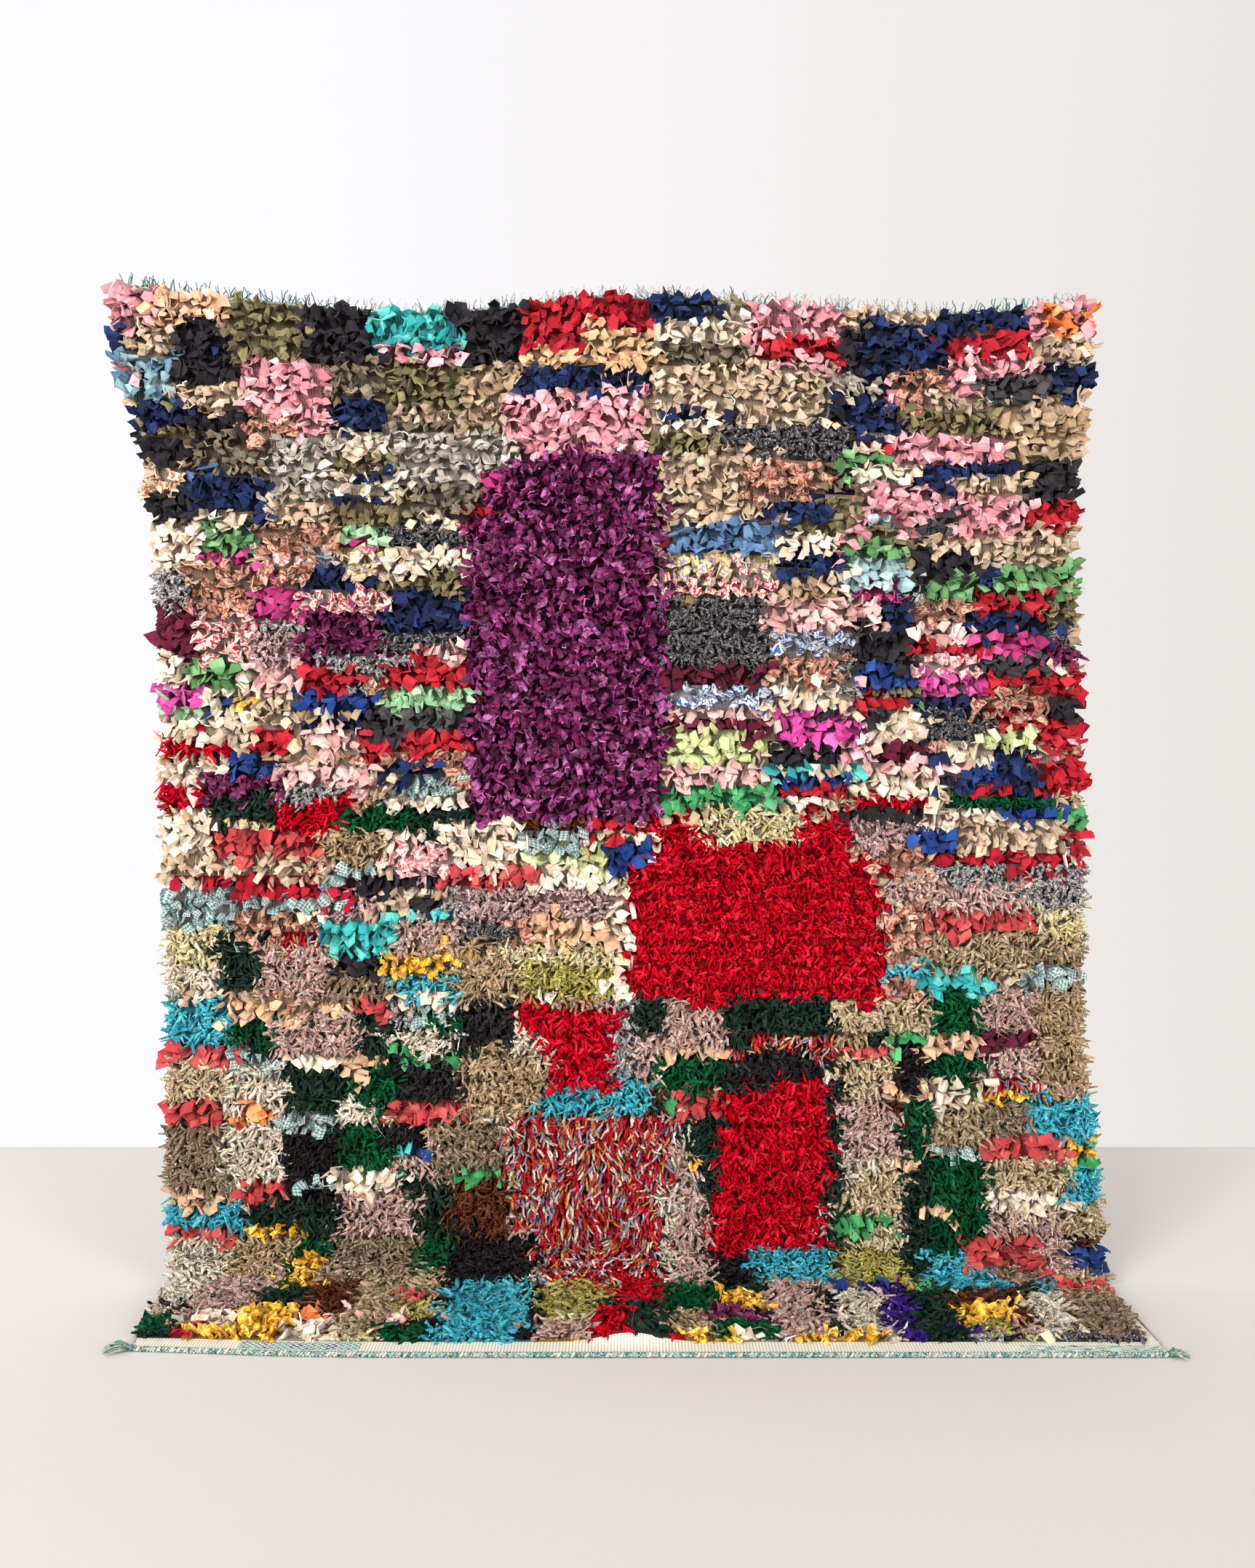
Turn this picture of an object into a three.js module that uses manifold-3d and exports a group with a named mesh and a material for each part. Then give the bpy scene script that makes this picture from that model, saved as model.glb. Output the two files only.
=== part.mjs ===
// Boucherouite rug: rag tufts knotted in rows on a woven ground, hung by its top edge
// with its lower end swept forward on the floor.
//
// Millimetres, +Z up. The origin is the middle of the top edge, where the rug is held. X runs
// along that edge, the pile faces -Y, and the floor is the plane z = -HANG.
// The rug is drawn on its own length: "down" is the distance walked along the ground weave
// from the top edge, and "across" is the distance from its middle line.

import * as THREE from 'three';
import Module from 'manifold-3d';

const wasm = await Module();
wasm.setup();

// ---- Driving dimensions -------------------------------------------------------------------

const HANG = 1460; // from the top edge's middle down to the floor
const SWEEP = 290; // how far the swept end reaches in front of the hanging part
const BEND_RADIUS = 55; // where the ground weave turns from hanging to lying
const GROUND = 6; // thickness of the woven ground with its knots
const KILIM = 34; // plain woven band at the lower end, with no pile
const GAP = 0.3; // between pieces that meet

const ROW = 40; // one raised roll of tufts, from its roots to its tips
const ROOT_HEIGHT = 9; // pile above the ground where a roll starts
const TIP_HEIGHT = 25; // pile above the ground at a roll's tips
const LUMP = 9; // how far single tufts stand above or below their roll
const RAGGED = 8; // how far a roll's tips wander up or down the rug
const LUMPS_ACROSS = 32; // facets across one roll
const BACK_FACETS = 12; // facets across the plain back, where it hangs

const SAG = 22; // of the top edge, half-way along its longest free stretch
const SAG_FADE = 700; // how far down the rug the sag can still be seen
const RIM_WIDTH = 7; // selvedge strip that carries the tufts of the outermost knots
const RIM_DEPTH = 17; // how far that strip reaches towards the pile's face
const RIM_LOCKS = 56; // tufts down one hanging side
const FLOOR_LOCKS = 9; // tufts along one lying side
// One such tuft: how far its root is sunk in the strip, its thickness as a share of its width, and
// its width at the tip as a share of its width at the root.
const LOCK = { length: 27, width: 15, droop: 0.85, root: 5, flat: 0.62, tip: 0.35 };

const FRINGE_STRIP = 5; // height and depth of the strip of warp ends above the top edge
const FRINGE_ENDS = 88; // bundles of cut warp ends in it
const FRINGE_END = { length: 18, width: 4.4, lean: 7 };

const CORD = 8; // thickness of the twined cord along the lower end
const CORD_SIDES = 8;
const TUFT = { knot: 15, strands: 9, length: 30, width: 6 };

// Where hands hold the top edge, and how high each place is pulled.
const HOLDS = [
  { across: -760, up: 14 },
  { across: -45, up: 0 },
  { across: 115, up: 0 },
  { across: 720, up: -8 },
];

// How far the two sides stand from the middle line, down the rug.
const SIDES = [
  { down: 0, left: 742, right: 682 },
  { down: 120, left: 728, right: 680 },
  { down: 290, left: 688, right: 656 },
  { down: 520, left: 670, right: 660 },
  { down: 800, left: 666, right: 670 },
  { down: 1060, left: 657, right: 662 },
  { down: 1250, left: 663, right: 684 },
  { down: 1430, left: 656, right: 698 },
  { down: 1730, left: 664, right: 704 },
];

// Soft folds down from the held places: the middle line of each, how far it stands towards the
// pile side (or away from it, when negative), its width, and how far down the rug it reaches.
const FOLDS = [
  { across: -560, out: 14, width: 120, reach: 620 },
  { across: -270, out: -13, width: 140, reach: 800 },
  { across: 260, out: 13, width: 140, reach: 700 },
  { across: 540, out: -11, width: 120, reach: 820 },
];

// The lower left corner is drawn back, over this width.
const CORNER_BACK = { across: -664, back: 20, width: 190 };

// The one ripple where the lying end is pushed up, behind the lower edge.
const RIPPLE = { across: 12, width: 46, up: 21, from: 24, peak: 62, to: 175 };

// ---- Numbers that repeat on every run -----------------------------------------------------

function randomNumbers(seed) {
  let state = seed;
  return () => {
    state = (state * 1664525 + 1013904223) % 4294967296;
    return state / 4294967296;
  };
}

const between = (random, low, high) => low + (high - low) * random();
const smooth = (low, high, x) => THREE.MathUtils.smoothstep(x, low, high);
const bell = (x, width) => Math.exp(-((x / width) ** 2));

// ---- The surface of the ground weave ------------------------------------------------------

const MID_FLOOR = -HANG + GROUND / 2; // height of the middle of the weave where it lies
const HANGING = HANG - GROUND / 2 - BEND_RADIUS; // length that hangs straight
const BEND = (BEND_RADIUS * Math.PI) / 2; // length in the bend
const LENGTH = HANGING + BEND + SWEEP - BEND_RADIUS; // whole length of the weave

const sideCurve = (side) =>
  new THREE.SplineCurve(SIDES.map((row) => new THREE.Vector2(row.down, row[side])));
const sideTable = Object.fromEntries(
  ['left', 'right'].map((side) => [side, sideCurve(side).getPoints(200)]),
);

function halfWidth(side, down) {
  const points = sideTable[side];
  const after = Math.max(1, points.findIndex((p) => p.x >= Math.min(down, LENGTH)));
  const [a, b] = [points[after - 1], points[after]];
  return THREE.MathUtils.mapLinear(down, a.x, b.x, a.y, b.y);
}

// Height of the top edge: straight between two held places, less a parabola for the sag.
function topEdge(across) {
  const after = Math.max(1, HOLDS.findIndex((hold) => hold.across >= across));
  const [a, b] = [HOLDS[after - 1], HOLDS[after]];
  const span = b.across - a.across;
  const t = (across - a.across) / span;
  const longest = HOLDS[1].across - HOLDS[0].across;
  return a.up + (b.up - a.up) * t - SAG * (span / longest) ** 2 * 4 * t * (1 - t);
}

function fold(across, down) {
  return FOLDS.reduce(
    (sum, f) => sum + f.out * bell(across - f.across, f.width) * (1 - smooth(60, f.reach, down)),
    0,
  );
}

function ripple(across, down) {
  const fromEdge = LENGTH - down;
  const along = smooth(RIPPLE.from, RIPPLE.peak, fromEdge) * (1 - smooth(RIPPLE.peak, RIPPLE.to, fromEdge));
  return RIPPLE.up * bell(across - RIPPLE.across, RIPPLE.width) * along;
}

const drawnBack = (across) => CORNER_BACK.back * bell(across - CORNER_BACK.across, CORNER_BACK.width);

// The point of the rug that lies "across" and "down", and "out" from the middle of the weave
// towards the pile. Straight down, then a quarter circle, then straight forward on the floor.
function place(across, down, out) {
  if (down <= HANGING) {
    const lift = topEdge(across) * (1 - smooth(0, SAG_FADE, down));
    return new THREE.Vector3(across, -out - fold(across, down), lift - down);
  }
  if (down <= HANGING + BEND) {
    const turn = (down - HANGING) / BEND_RADIUS;
    const radius = BEND_RADIUS - out;
    return new THREE.Vector3(
      across,
      -BEND_RADIUS + radius * Math.cos(turn),
      MID_FLOOR + BEND_RADIUS - radius * Math.sin(turn),
    );
  }
  const lying = (down - HANGING - BEND) / (SWEEP - BEND_RADIUS);
  const forward = BEND_RADIUS + (SWEEP - BEND_RADIUS) * lying - drawnBack(across) * lying ** 2;
  return new THREE.Vector3(across, -forward, MID_FLOOR + out + ripple(across, down));
}

// ---- Mesh helpers -------------------------------------------------------------------------

// Six times the volume inside the triangles. It is negative when they face inwards.
const signedVolume = (points, triangles) =>
  triangles.reduce((sum, [a, b, c]) => sum + points[a].dot(points[b].clone().cross(points[c])), 0);

function meshFrom(points, triangles) {
  const outward = signedVolume(points, triangles) > 0;
  const index = triangles.flatMap(([a, b, c]) => (outward ? [a, b, c] : [a, c, b]));
  const geometry = new THREE.BufferGeometry();
  geometry.setAttribute('position', new THREE.Float32BufferAttribute(points.flatMap((p) => p.toArray()), 3));
  geometry.setIndex(index);
  return geometry;
}

// Triangles between two lines of vertices that may have different counts. Each step moves on
// along the line that lags behind.
function zip(upper, lower) {
  const triangles = [];
  let [i, j] = [0, 0];
  while (i < upper.length - 1 || j < lower.length - 1) {
    const upperNext = (i + 1) / (upper.length - 1);
    const lowerNext = (j + 1) / (lower.length - 1);
    const stepUpper = j === lower.length - 1 || (i < upper.length - 1 && upperNext <= lowerNext);
    triangles.push(stepUpper ? [upper[i], lower[j], upper[i + 1]] : [upper[i], lower[j], lower[j + 1]]);
    if (stepUpper) i += 1;
    else j += 1;
  }
  return triangles;
}

// A closed tube through rings of points, which all list their points in the same turning sense.
function tubeThrough(rings) {
  const size = rings[0].length;
  const points = rings.flat();
  const triangles = [];
  for (let ring = 0; ring + 1 < rings.length; ring += 1) {
    for (let k = 0; k < size; k += 1) {
      const [a, b] = [ring * size + k, ring * size + ((k + 1) % size)];
      triangles.push([a, b, b + size], [a, b + size, a + size]);
    }
  }
  const last = (rings.length - 1) * size;
  for (let k = 1; k + 1 < size; k += 1) {
    triangles.push([0, k + 1, k], [last, last + k, last + k + 1]);
  }
  return meshFrom(points, triangles);
}

function solid(geometry) {
  return new wasm.Manifold(
    new wasm.Mesh({
      numProp: 3,
      vertProperties: new Float32Array(geometry.attributes.position.array),
      triVerts: new Uint32Array(geometry.index.array),
    }),
  );
}

function fused(geometries) {
  const mesh = geometries.map(solid).reduce((sum, next) => sum.add(next)).getMesh();
  const geometry = new THREE.BufferGeometry();
  geometry.setAttribute('position', new THREE.BufferAttribute(mesh.vertProperties, 3));
  geometry.setIndex(new THREE.BufferAttribute(mesh.triVerts, 1));
  return geometry;
}

// ---- The rug: ground, rolls of pile, kilim band, in one piece ------------------------------

// Stations down the rug. Each roll has one at its roots and one at its tips.
function rollStations() {
  const piled = LENGTH - KILIM;
  const rolls = Math.round(piled / ROW);
  const pitch = piled / rolls;
  const stations = [];
  for (let roll = 0; roll < rolls; roll += 1) {
    stations.push({ down: roll * pitch, height: ROOT_HEIGHT });
    stations.push({ down: (roll + 0.82) * pitch, height: TIP_HEIGHT });
  }
  stations.push({ down: piled, height: 0 });
  stations.push({ down: LENGTH, height: 0 });
  return stations;
}

const STATIONS = rollStations();

const acrossAt = (t, down) => THREE.MathUtils.lerp(-halfWidth('left', down), halfWidth('right', down), t);

function rugGeometry() {
  const random = randomNumbers(11);
  const points = [];
  const front = STATIONS.map(({ down, height }) => {
    const line = [];
    for (let k = 0; k <= LUMPS_ACROSS; k += 1) {
      const lump = between(random, -LUMP, LUMP) * (height / TIP_HEIGHT);
      const inside = k > 0 && k < LUMPS_ACROSS && height === TIP_HEIGHT;
      const slid = down + (inside ? between(random, -RAGGED, RAGGED / 2) : 0);
      line.push(points.push(place(acrossAt(k / LUMPS_ACROSS, down), slid, GROUND / 2 + height + lump)) - 1);
    }
    return line;
  });
  const back = STATIONS.map(({ down }) => {
    const facets = down === 0 || down > HANGING + BEND ? LUMPS_ACROSS : BACK_FACETS;
    const line = [];
    for (let k = 0; k <= facets; k += 1) {
      line.push(points.push(place(acrossAt(k / facets, down), down, -GROUND / 2)) - 1);
    }
    return line;
  });
  const triangles = [];
  for (let row = 0; row + 1 < STATIONS.length; row += 1) {
    triangles.push(...zip(front[row], front[row + 1]));
    triangles.push(...zip(back[row + 1], back[row]));
  }
  const flip = (list) => list.map(([a, b, c]) => [a, c, b]);
  triangles.push(...flip(zip(front[0], back[0])), ...zip(front.at(-1), back.at(-1)));
  const edge = (lines, at) => lines.map((line) => line.at(at));
  triangles.push(...flip(zip(edge(back, 0), edge(front, 0))), ...zip(edge(back, -1), edge(front, -1)));
  return meshFrom(points, triangles);
}

// ---- Selvedge strips with the outermost tufts ---------------------------------------------

const LEFT = { name: 'left', sign: -1 };
const RIGHT = { name: 'right', sign: 1 };

// A point beside the rug: "beyond" is counted outwards from the side, past the gap.
function beside(side, down, beyond, out) {
  const across = side.sign * (halfWidth(side.name, down) + GAP + beyond);
  return place(across, down, out);
}

function selvedge(side, stations) {
  const low = -GROUND / 2;
  const corners = [
    [0, low],
    [RIM_WIDTH, low],
    [RIM_WIDTH, RIM_DEPTH],
    [0, RIM_DEPTH],
  ];
  return tubeThrough(
    stations.map(({ down }) => corners.map(([beyond, out]) => beside(side, down, beyond, out))),
  );
}

// One tuft: a flat three-sided lock from inside the strip, out past the side and down the rug.
// On the floor its two lower edges lie level on the floor.
function lock(side, down, random, floor) {
  const length = LOCK.length * between(random, 0.65, 1.15);
  const width = LOCK.width * between(random, 0.75, 1.1);
  const droop = LOCK.droop * between(random, 0.5, 1.3);
  const rootOut = between(random, 3, RIM_DEPTH - 4);
  const rings = [0, 0.6, 1].map((t) => {
    const beyond = RIM_WIDTH - LOCK.root + length * (1 - 0.4 * droop * t) * t;
    const slid = down + 0.75 * length * droop * t * t;
    const half = (width / 2) * (t === 1 ? LOCK.tip : 1 - 0.25 * t);
    const thick = half * LOCK.flat;
    const out = rootOut + 3 * t;
    const level = floor ? -GROUND / 2 : out - thick;
    const corners = [
      [slid + half, level],
      [slid - half, level],
      [slid, out + thick],
    ];
    return corners.map(([at, height]) => beside(side, at, beyond, height));
  });
  return tubeThrough(rings);
}

function rimGeometry(side, from, to, count, floor, seed) {
  const random = randomNumbers(seed);
  const stations = STATIONS.filter(({ down }) => down >= from && down <= to);
  const first = stations[0].down + LOCK.width;
  const last = stations.at(-1).down - LOCK.width * 2;
  const locks = Array.from({ length: count }, (_, k) => {
    const down = THREE.MathUtils.lerp(first, last, k / (count - 1)) + between(random, -5, 5);
    return lock(side, down, random, floor);
  });
  return fused([selvedge(side, stations), ...locks]);
}

// ---- Warp ends above the top edge ---------------------------------------------------------

function fringeGeometry() {
  const random = randomNumbers(29);
  const half = FRINGE_STRIP / 2;
  const at = (across, up, out) => {
    const p = place(across, 0, out);
    p.z += GAP + up;
    return p;
  };
  const [left, right] = [-halfWidth('left', 0), halfWidth('right', 0)];
  const rings = Array.from({ length: LUMPS_ACROSS + 1 }, (_, k) => {
    const across = THREE.MathUtils.lerp(left, right, k / LUMPS_ACROSS);
    return [
      at(across, 0, half),
      at(across, 0, -half),
      at(across, FRINGE_STRIP, -half),
      at(across, FRINGE_STRIP, half),
    ];
  });
  const ends = Array.from({ length: FRINGE_ENDS }, (_, k) => {
    const across = THREE.MathUtils.lerp(left + 6, right - 6, k / (FRINGE_ENDS - 1)) + between(random, -3, 3);
    const length = FRINGE_END.length * between(random, 0.5, 1.25);
    const lean = FRINGE_END.lean * between(random, -1, 1);
    const forward = FRINGE_END.lean * between(random, -0.6, 1);
    return tubeThrough(
      [0, 1].map((t) => {
        const wide = (FRINGE_END.width / 2) * (1 - 0.55 * t);
        const middle = across + lean * t * t;
        const out = forward * t * t;
        const up = FRINGE_STRIP * 0.4 + length * t;
        const behind = out - wide;
        return [at(middle - wide, up, behind), at(middle + wide, up, behind), at(middle, up, out + wide)];
      }),
    );
  });
  return fused([tubeThrough(rings), ...ends]);
}

// ---- Twined cord along the lower end, and the frayed knots at its corners -------------------

// How far forward the cord starts: just in front of the lower end.
const edgeForward = (across) => SWEEP - drawnBack(across) + GAP;

function cordGeometry() {
  const [left, right] = [-halfWidth('left', LENGTH), halfWidth('right', LENGTH)];
  const rings = Array.from({ length: LUMPS_ACROSS + 1 }, (_, k) => {
    const across = THREE.MathUtils.lerp(left, right, k / LUMPS_ACROSS);
    return Array.from({ length: CORD_SIDES }, (_unused, side) => {
      const turn = ((side + 0.5) / CORD_SIDES) * 2 * Math.PI;
      const flat = Math.cos(Math.PI / CORD_SIDES);
      return new THREE.Vector3(
        across,
        -edgeForward(across) - CORD / 2 + (CORD / 2 / flat) * Math.cos(turn),
        -HANG + CORD / 2 + (CORD / 2 / flat) * Math.sin(turn),
      );
    });
  });
  return tubeThrough(rings);
}

// A knot with its cut ends fanned out beyond the corner, all resting level on the floor.
function cornerGeometry(side, seed) {
  const random = randomNumbers(seed);
  const start = halfWidth(side.name, LENGTH) + GAP;
  const edge = edgeForward(side.sign * start);
  const at = (beyond, forward, up) =>
    new THREE.Vector3(side.sign * (start + beyond), -edge - forward, -HANG + up);
  const knot = tubeThrough(
    [0, 0.3, 0.75, 1].map((t) => {
      const high = CORD * (t === 0.3 || t === 0.75 ? 1.5 : 1);
      const [near, far] = [-high * 0.75, high * 0.75];
      return [
        at(TUFT.knot * t, CORD / 2 + far, 0),
        at(TUFT.knot * t, CORD / 2 + near, 0),
        at(TUFT.knot * t, CORD / 2 + near * 0.7, high),
        at(TUFT.knot * t, CORD / 2 + far * 0.7, high),
      ];
    }),
  );
  const strands = Array.from({ length: TUFT.strands }, (_, k) => {
    const fan = THREE.MathUtils.lerp(-0.9, 0.9, k / (TUFT.strands - 1));
    const length = TUFT.length * between(random, 0.7, 1.1);
    const root = CORD / 2 + fan * CORD * 0.5;
    const rise = k % 2 ? 0 : 5 * between(random, 0.5, 1);
    return tubeThrough(
      [0, 0.5, 1].map((t) => {
        const half = (TUFT.width / 2) * (1 - 0.5 * t);
        const middle = root + fan * length * 0.75 * t;
        const out = TUFT.knot * 0.5 + length * t * Math.cos(fan * 0.8);
        return [
          at(out, middle + half, 0),
          at(out, middle - half, 0),
          at(out, middle, TUFT.width * (1 - 0.3 * t) + rise * (1 - t)),
        ];
      }),
    );
  });
  return fused([knot, ...strands]);
}

// ---- The group ----------------------------------------------------------------------------

const finish = {
  pile: new THREE.MeshStandardMaterial({ color: 0xb99c8c, roughness: 0.95, metalness: 0 }),
  wool: new THREE.MeshStandardMaterial({ color: 0x9a8f86, roughness: 0.95, metalness: 0 }),
  warp: new THREE.MeshStandardMaterial({ color: 0x6fb5ae, roughness: 0.9, metalness: 0 }),
  cord: new THREE.MeshStandardMaterial({ color: 0xa9cfc9, roughness: 0.9, metalness: 0 }),
};

const rug = new THREE.Group();

function add(name, geometry, material) {
  const mesh = new THREE.Mesh(geometry, material);
  mesh.name = name;
  rug.add(mesh);
}

// A side strip is parted where the rug turns to the floor.
const TURN = STATIONS.find(({ down }) => down > HANGING - ROW).down;
const LYING = STATIONS.find(({ down }) => down > HANGING + BEND).down;
const PILE_END = LENGTH - KILIM;

add('rug', rugGeometry(), finish.pile);
[LEFT, RIGHT].forEach((side, k) => {
  add(`rim_${side.name}`, rimGeometry(side, 0, TURN, RIM_LOCKS, false, 41 + k), finish.wool);
  add(`rim_${side.name}_floor`, rimGeometry(side, LYING, PILE_END, FLOOR_LOCKS, true, 51 + k), finish.wool);
  add(`corner_${side.name}`, cornerGeometry(side, 61 + k), finish.warp);
});
add('warp_fringe', fringeGeometry(), finish.warp);
add('end_cord', cordGeometry(), finish.cord);

export default rug;
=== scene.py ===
# %% [markdown]
# A boucherouite is a rag rug: short tufts of cut cloth and wool are knotted in rows on a woven
# ground, colour by colour, as scraps come to hand. This one hangs from its top edge and its lower
# end is swept forward on the floor. The lesson first describes how the rug hangs, then gives a
# weaver's chart that says which yarn each knot is tied from, and ties the tufts family by family.
# The ground weave, the sides, the warp ends and the cord along the lower end follow.

# %% Frame and CAD box
import math
import bpy
import numpy as np
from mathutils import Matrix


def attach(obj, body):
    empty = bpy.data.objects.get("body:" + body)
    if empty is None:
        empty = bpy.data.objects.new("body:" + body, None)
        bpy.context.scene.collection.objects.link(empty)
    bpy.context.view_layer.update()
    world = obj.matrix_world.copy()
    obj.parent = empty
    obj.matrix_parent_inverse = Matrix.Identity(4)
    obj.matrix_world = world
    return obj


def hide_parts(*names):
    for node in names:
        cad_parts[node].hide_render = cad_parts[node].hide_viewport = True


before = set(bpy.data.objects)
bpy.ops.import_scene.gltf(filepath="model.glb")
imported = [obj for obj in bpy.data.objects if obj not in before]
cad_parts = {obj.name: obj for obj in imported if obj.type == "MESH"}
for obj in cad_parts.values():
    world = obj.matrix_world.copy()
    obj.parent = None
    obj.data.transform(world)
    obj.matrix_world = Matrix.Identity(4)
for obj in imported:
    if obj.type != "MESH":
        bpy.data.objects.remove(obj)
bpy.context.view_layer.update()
print("nodes in the frame:", len(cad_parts))

# %% [markdown]
# The camera looks level at the rug from in front, at about half its height, which keeps upright
# lines upright. A small shift of the lens frames the rug higher or lower without tilting it.

# %% Camera
# In pixels: the width of the frame, the focal length, and how far the horizon is from the middle.
FRAME_WIDE = 1725
FOCAL_PIXELS = 2139
HORIZON_ABOVE_MIDDLE = 46
CAMERA_PLACE = (0.0075, -2.30, -0.677)

camera_data = bpy.data.cameras.new("camera")
camera_data.sensor_fit = "HORIZONTAL"
camera_data.sensor_width = 36.0
camera_data.lens = camera_data.sensor_width * FOCAL_PIXELS / FRAME_WIDE
camera_data.shift_y = -HORIZON_ABOVE_MIDDLE / FRAME_WIDE
camera = bpy.data.objects.new("camera", camera_data)
camera.location = CAMERA_PLACE
camera.rotation_euler = (math.radians(90), 0, 0)
bpy.context.collection.objects.link(camera)
bpy.context.scene.camera = camera
print("lens", round(camera_data.lens, 2), "mm")

# %% [markdown]
# Every tuft is drawn in the rug's own coordinates, in metres: "across" from the middle line,
# "down" along the weave from the top edge, and "out" from the middle of the weave towards the
# pile. One function then hangs the rug: straight down, a quarter circle, and forward on the floor.

# %% Driving sizes
# Metres: how far the rug hangs and how far its end reaches forward, the bend between the two, the
# thickness of the ground, the plain woven end, how deep the top edge sags, how far down that
# fades out, and where the folds start to fade.
HANG = 1.460
SWEEP = 0.290
BEND_RADIUS = 0.055
GROUND = 0.006
KILIM = 0.034
SAG = 0.030
SAG_FADE = 0.700
FOLD_START = 0.060

# Where the top edge is held: across, and how far above the level of the top.
HOLDS = np.array([(-0.760, 0.014), (-0.045, -0.008), (0.115, -0.010), (0.720, -0.010)])
# How far each side stands from the middle line. Columns: down, left, right.
SIDES = np.array([
    (0.000, 0.742, 0.682), (0.120, 0.728, 0.680), (0.290, 0.688, 0.656), (0.520, 0.670, 0.660),
    (0.800, 0.666, 0.670), (1.060, 0.657, 0.662), (1.250, 0.660, 0.684), (1.430, 0.652, 0.696),
    (1.600, 0.654, 0.702), (1.730, 0.634, 0.704),
])
# Soft folds from the top edge down. Columns: across, out, width, how far down they reach.
FOLDS = [
    (-0.560, 0.014, 0.120, 0.620), (-0.270, -0.013, 0.140, 0.800),
    (0.260, 0.013, 0.140, 0.700), (0.540, -0.011, 0.120, 0.820),
]
# The lower left corner is drawn back a little, and one ripple runs across the lying end.
CORNER_BACK = {"across": -0.664, "back": 0.020, "width": 0.190}
RIPPLE = {"across": 0.012, "width": 0.050, "up": 0.025, "start": 0.008, "peak": 0.060, "end": 0.165}

MID_FLOOR = -HANG + GROUND / 2
HANGING = HANG - GROUND / 2 - BEND_RADIUS
BEND = BEND_RADIUS * math.pi / 2
LENGTH = HANGING + BEND + SWEEP - BEND_RADIUS
PILE_END = LENGTH - KILIM
print("hanging", round(HANGING, 3), "m, bend", round(BEND, 3), "m, in all", round(LENGTH, 3), "m")

# %% [markdown]
# The sides are curves through a few measured widths, the top edge sags between the places where
# it is held, and the folds are bells that fade out down the rug. All of it is worked out for whole
# arrays of places at once.

# %% Curves
def smooth(low, high, x):
    """0 below low, 1 above high, and 3 t squared minus 2 t cubed between them."""
    t = np.clip((x - low) / (high - low), 0, 1)
    return t * t * (3 - 2 * t)


def bell(x, width):
    """e to the power of minus (x over width) squared."""
    return np.exp(-((x / width) ** 2))


def waves(table, across, down):
    """The sum of sine waves: how far each goes, and how fast it changes across and down."""
    return sum(far * np.sin(across * fast + down * steep) for far, fast, steep in table)


print("a smooth step from 0 to 1 is", smooth(0, 1, 0.25), "after a quarter")

# %% Sides, top edge, folds and ripple
def spline_table(column, samples=200):
    """A Catmull-Rom curve through one column of SIDES against down, as sampled points."""
    knots = SIDES[:, [0, column]]
    last = len(knots) - 1
    place_on = np.linspace(0, last, samples + 1)
    i = np.minimum(place_on.astype(int), last - 1)
    w = (place_on - i)[:, None]
    before, start, end, after = (knots[np.clip(i + k, 0, last)] for k in (-1, 0, 1, 2))
    leave, arrive = (end - before) / 2, (after - start) / 2
    return ((2 * start - 2 * end + leave + arrive) * w**3
            + (3 * end - 3 * start - 2 * leave - arrive) * w**2 + leave * w + start)


EDGE_TABLE = {-1: spline_table(1), 1: spline_table(2)}


def half_width(side, down):
    """How far one side (-1 left, 1 right) stands from the middle line."""
    return np.interp(down, EDGE_TABLE[side][:, 0], EDGE_TABLE[side][:, 1])


def top_edge(across):
    """Straight between two held places, less a parabola for the sag."""
    after = np.clip(np.searchsorted(HOLDS[:, 0], across), 1, len(HOLDS) - 1)
    a, low = HOLDS[after - 1, 0], HOLDS[after - 1, 1]
    b, high = HOLDS[after, 0], HOLDS[after, 1]
    t = (across - a) / (b - a)
    longest = HOLDS[1, 0] - HOLDS[0, 0]
    return low + (high - low) * t - SAG * ((b - a) / longest) ** 2 * 4 * t * (1 - t)


def fold(across, down):
    """The sum of the soft folds: each a bell across, fading out down the rug."""
    return sum(out * bell(across - middle, width) * (1 - smooth(FOLD_START, reach, down))
               for middle, out, width, reach in FOLDS)


def drawn_back(across):
    """How far the lower left corner is drawn back."""
    return CORNER_BACK["back"] * bell(across - CORNER_BACK["across"], CORNER_BACK["width"])


def ripple(across, down):
    """The one ripple where the lying end is pushed up: a bell across times a hump along."""
    from_edge = LENGTH - down
    hump = (smooth(RIPPLE["start"], RIPPLE["peak"], from_edge)
            * (1 - smooth(RIPPLE["peak"], RIPPLE["end"], from_edge)))
    return RIPPLE["up"] * bell(across - RIPPLE["across"], RIPPLE["width"]) * hump


print("top edge", round(float(half_width(-1, 0) + half_width(1, 0)), 3), "m wide")

# %% [markdown]
# To hang the rug, a place is looked up in three stretches: on the wall of folds, round the bend,
# or on the floor. What stands out from the weave goes forward, turns with the bend, and ends up
# above the floor.

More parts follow.
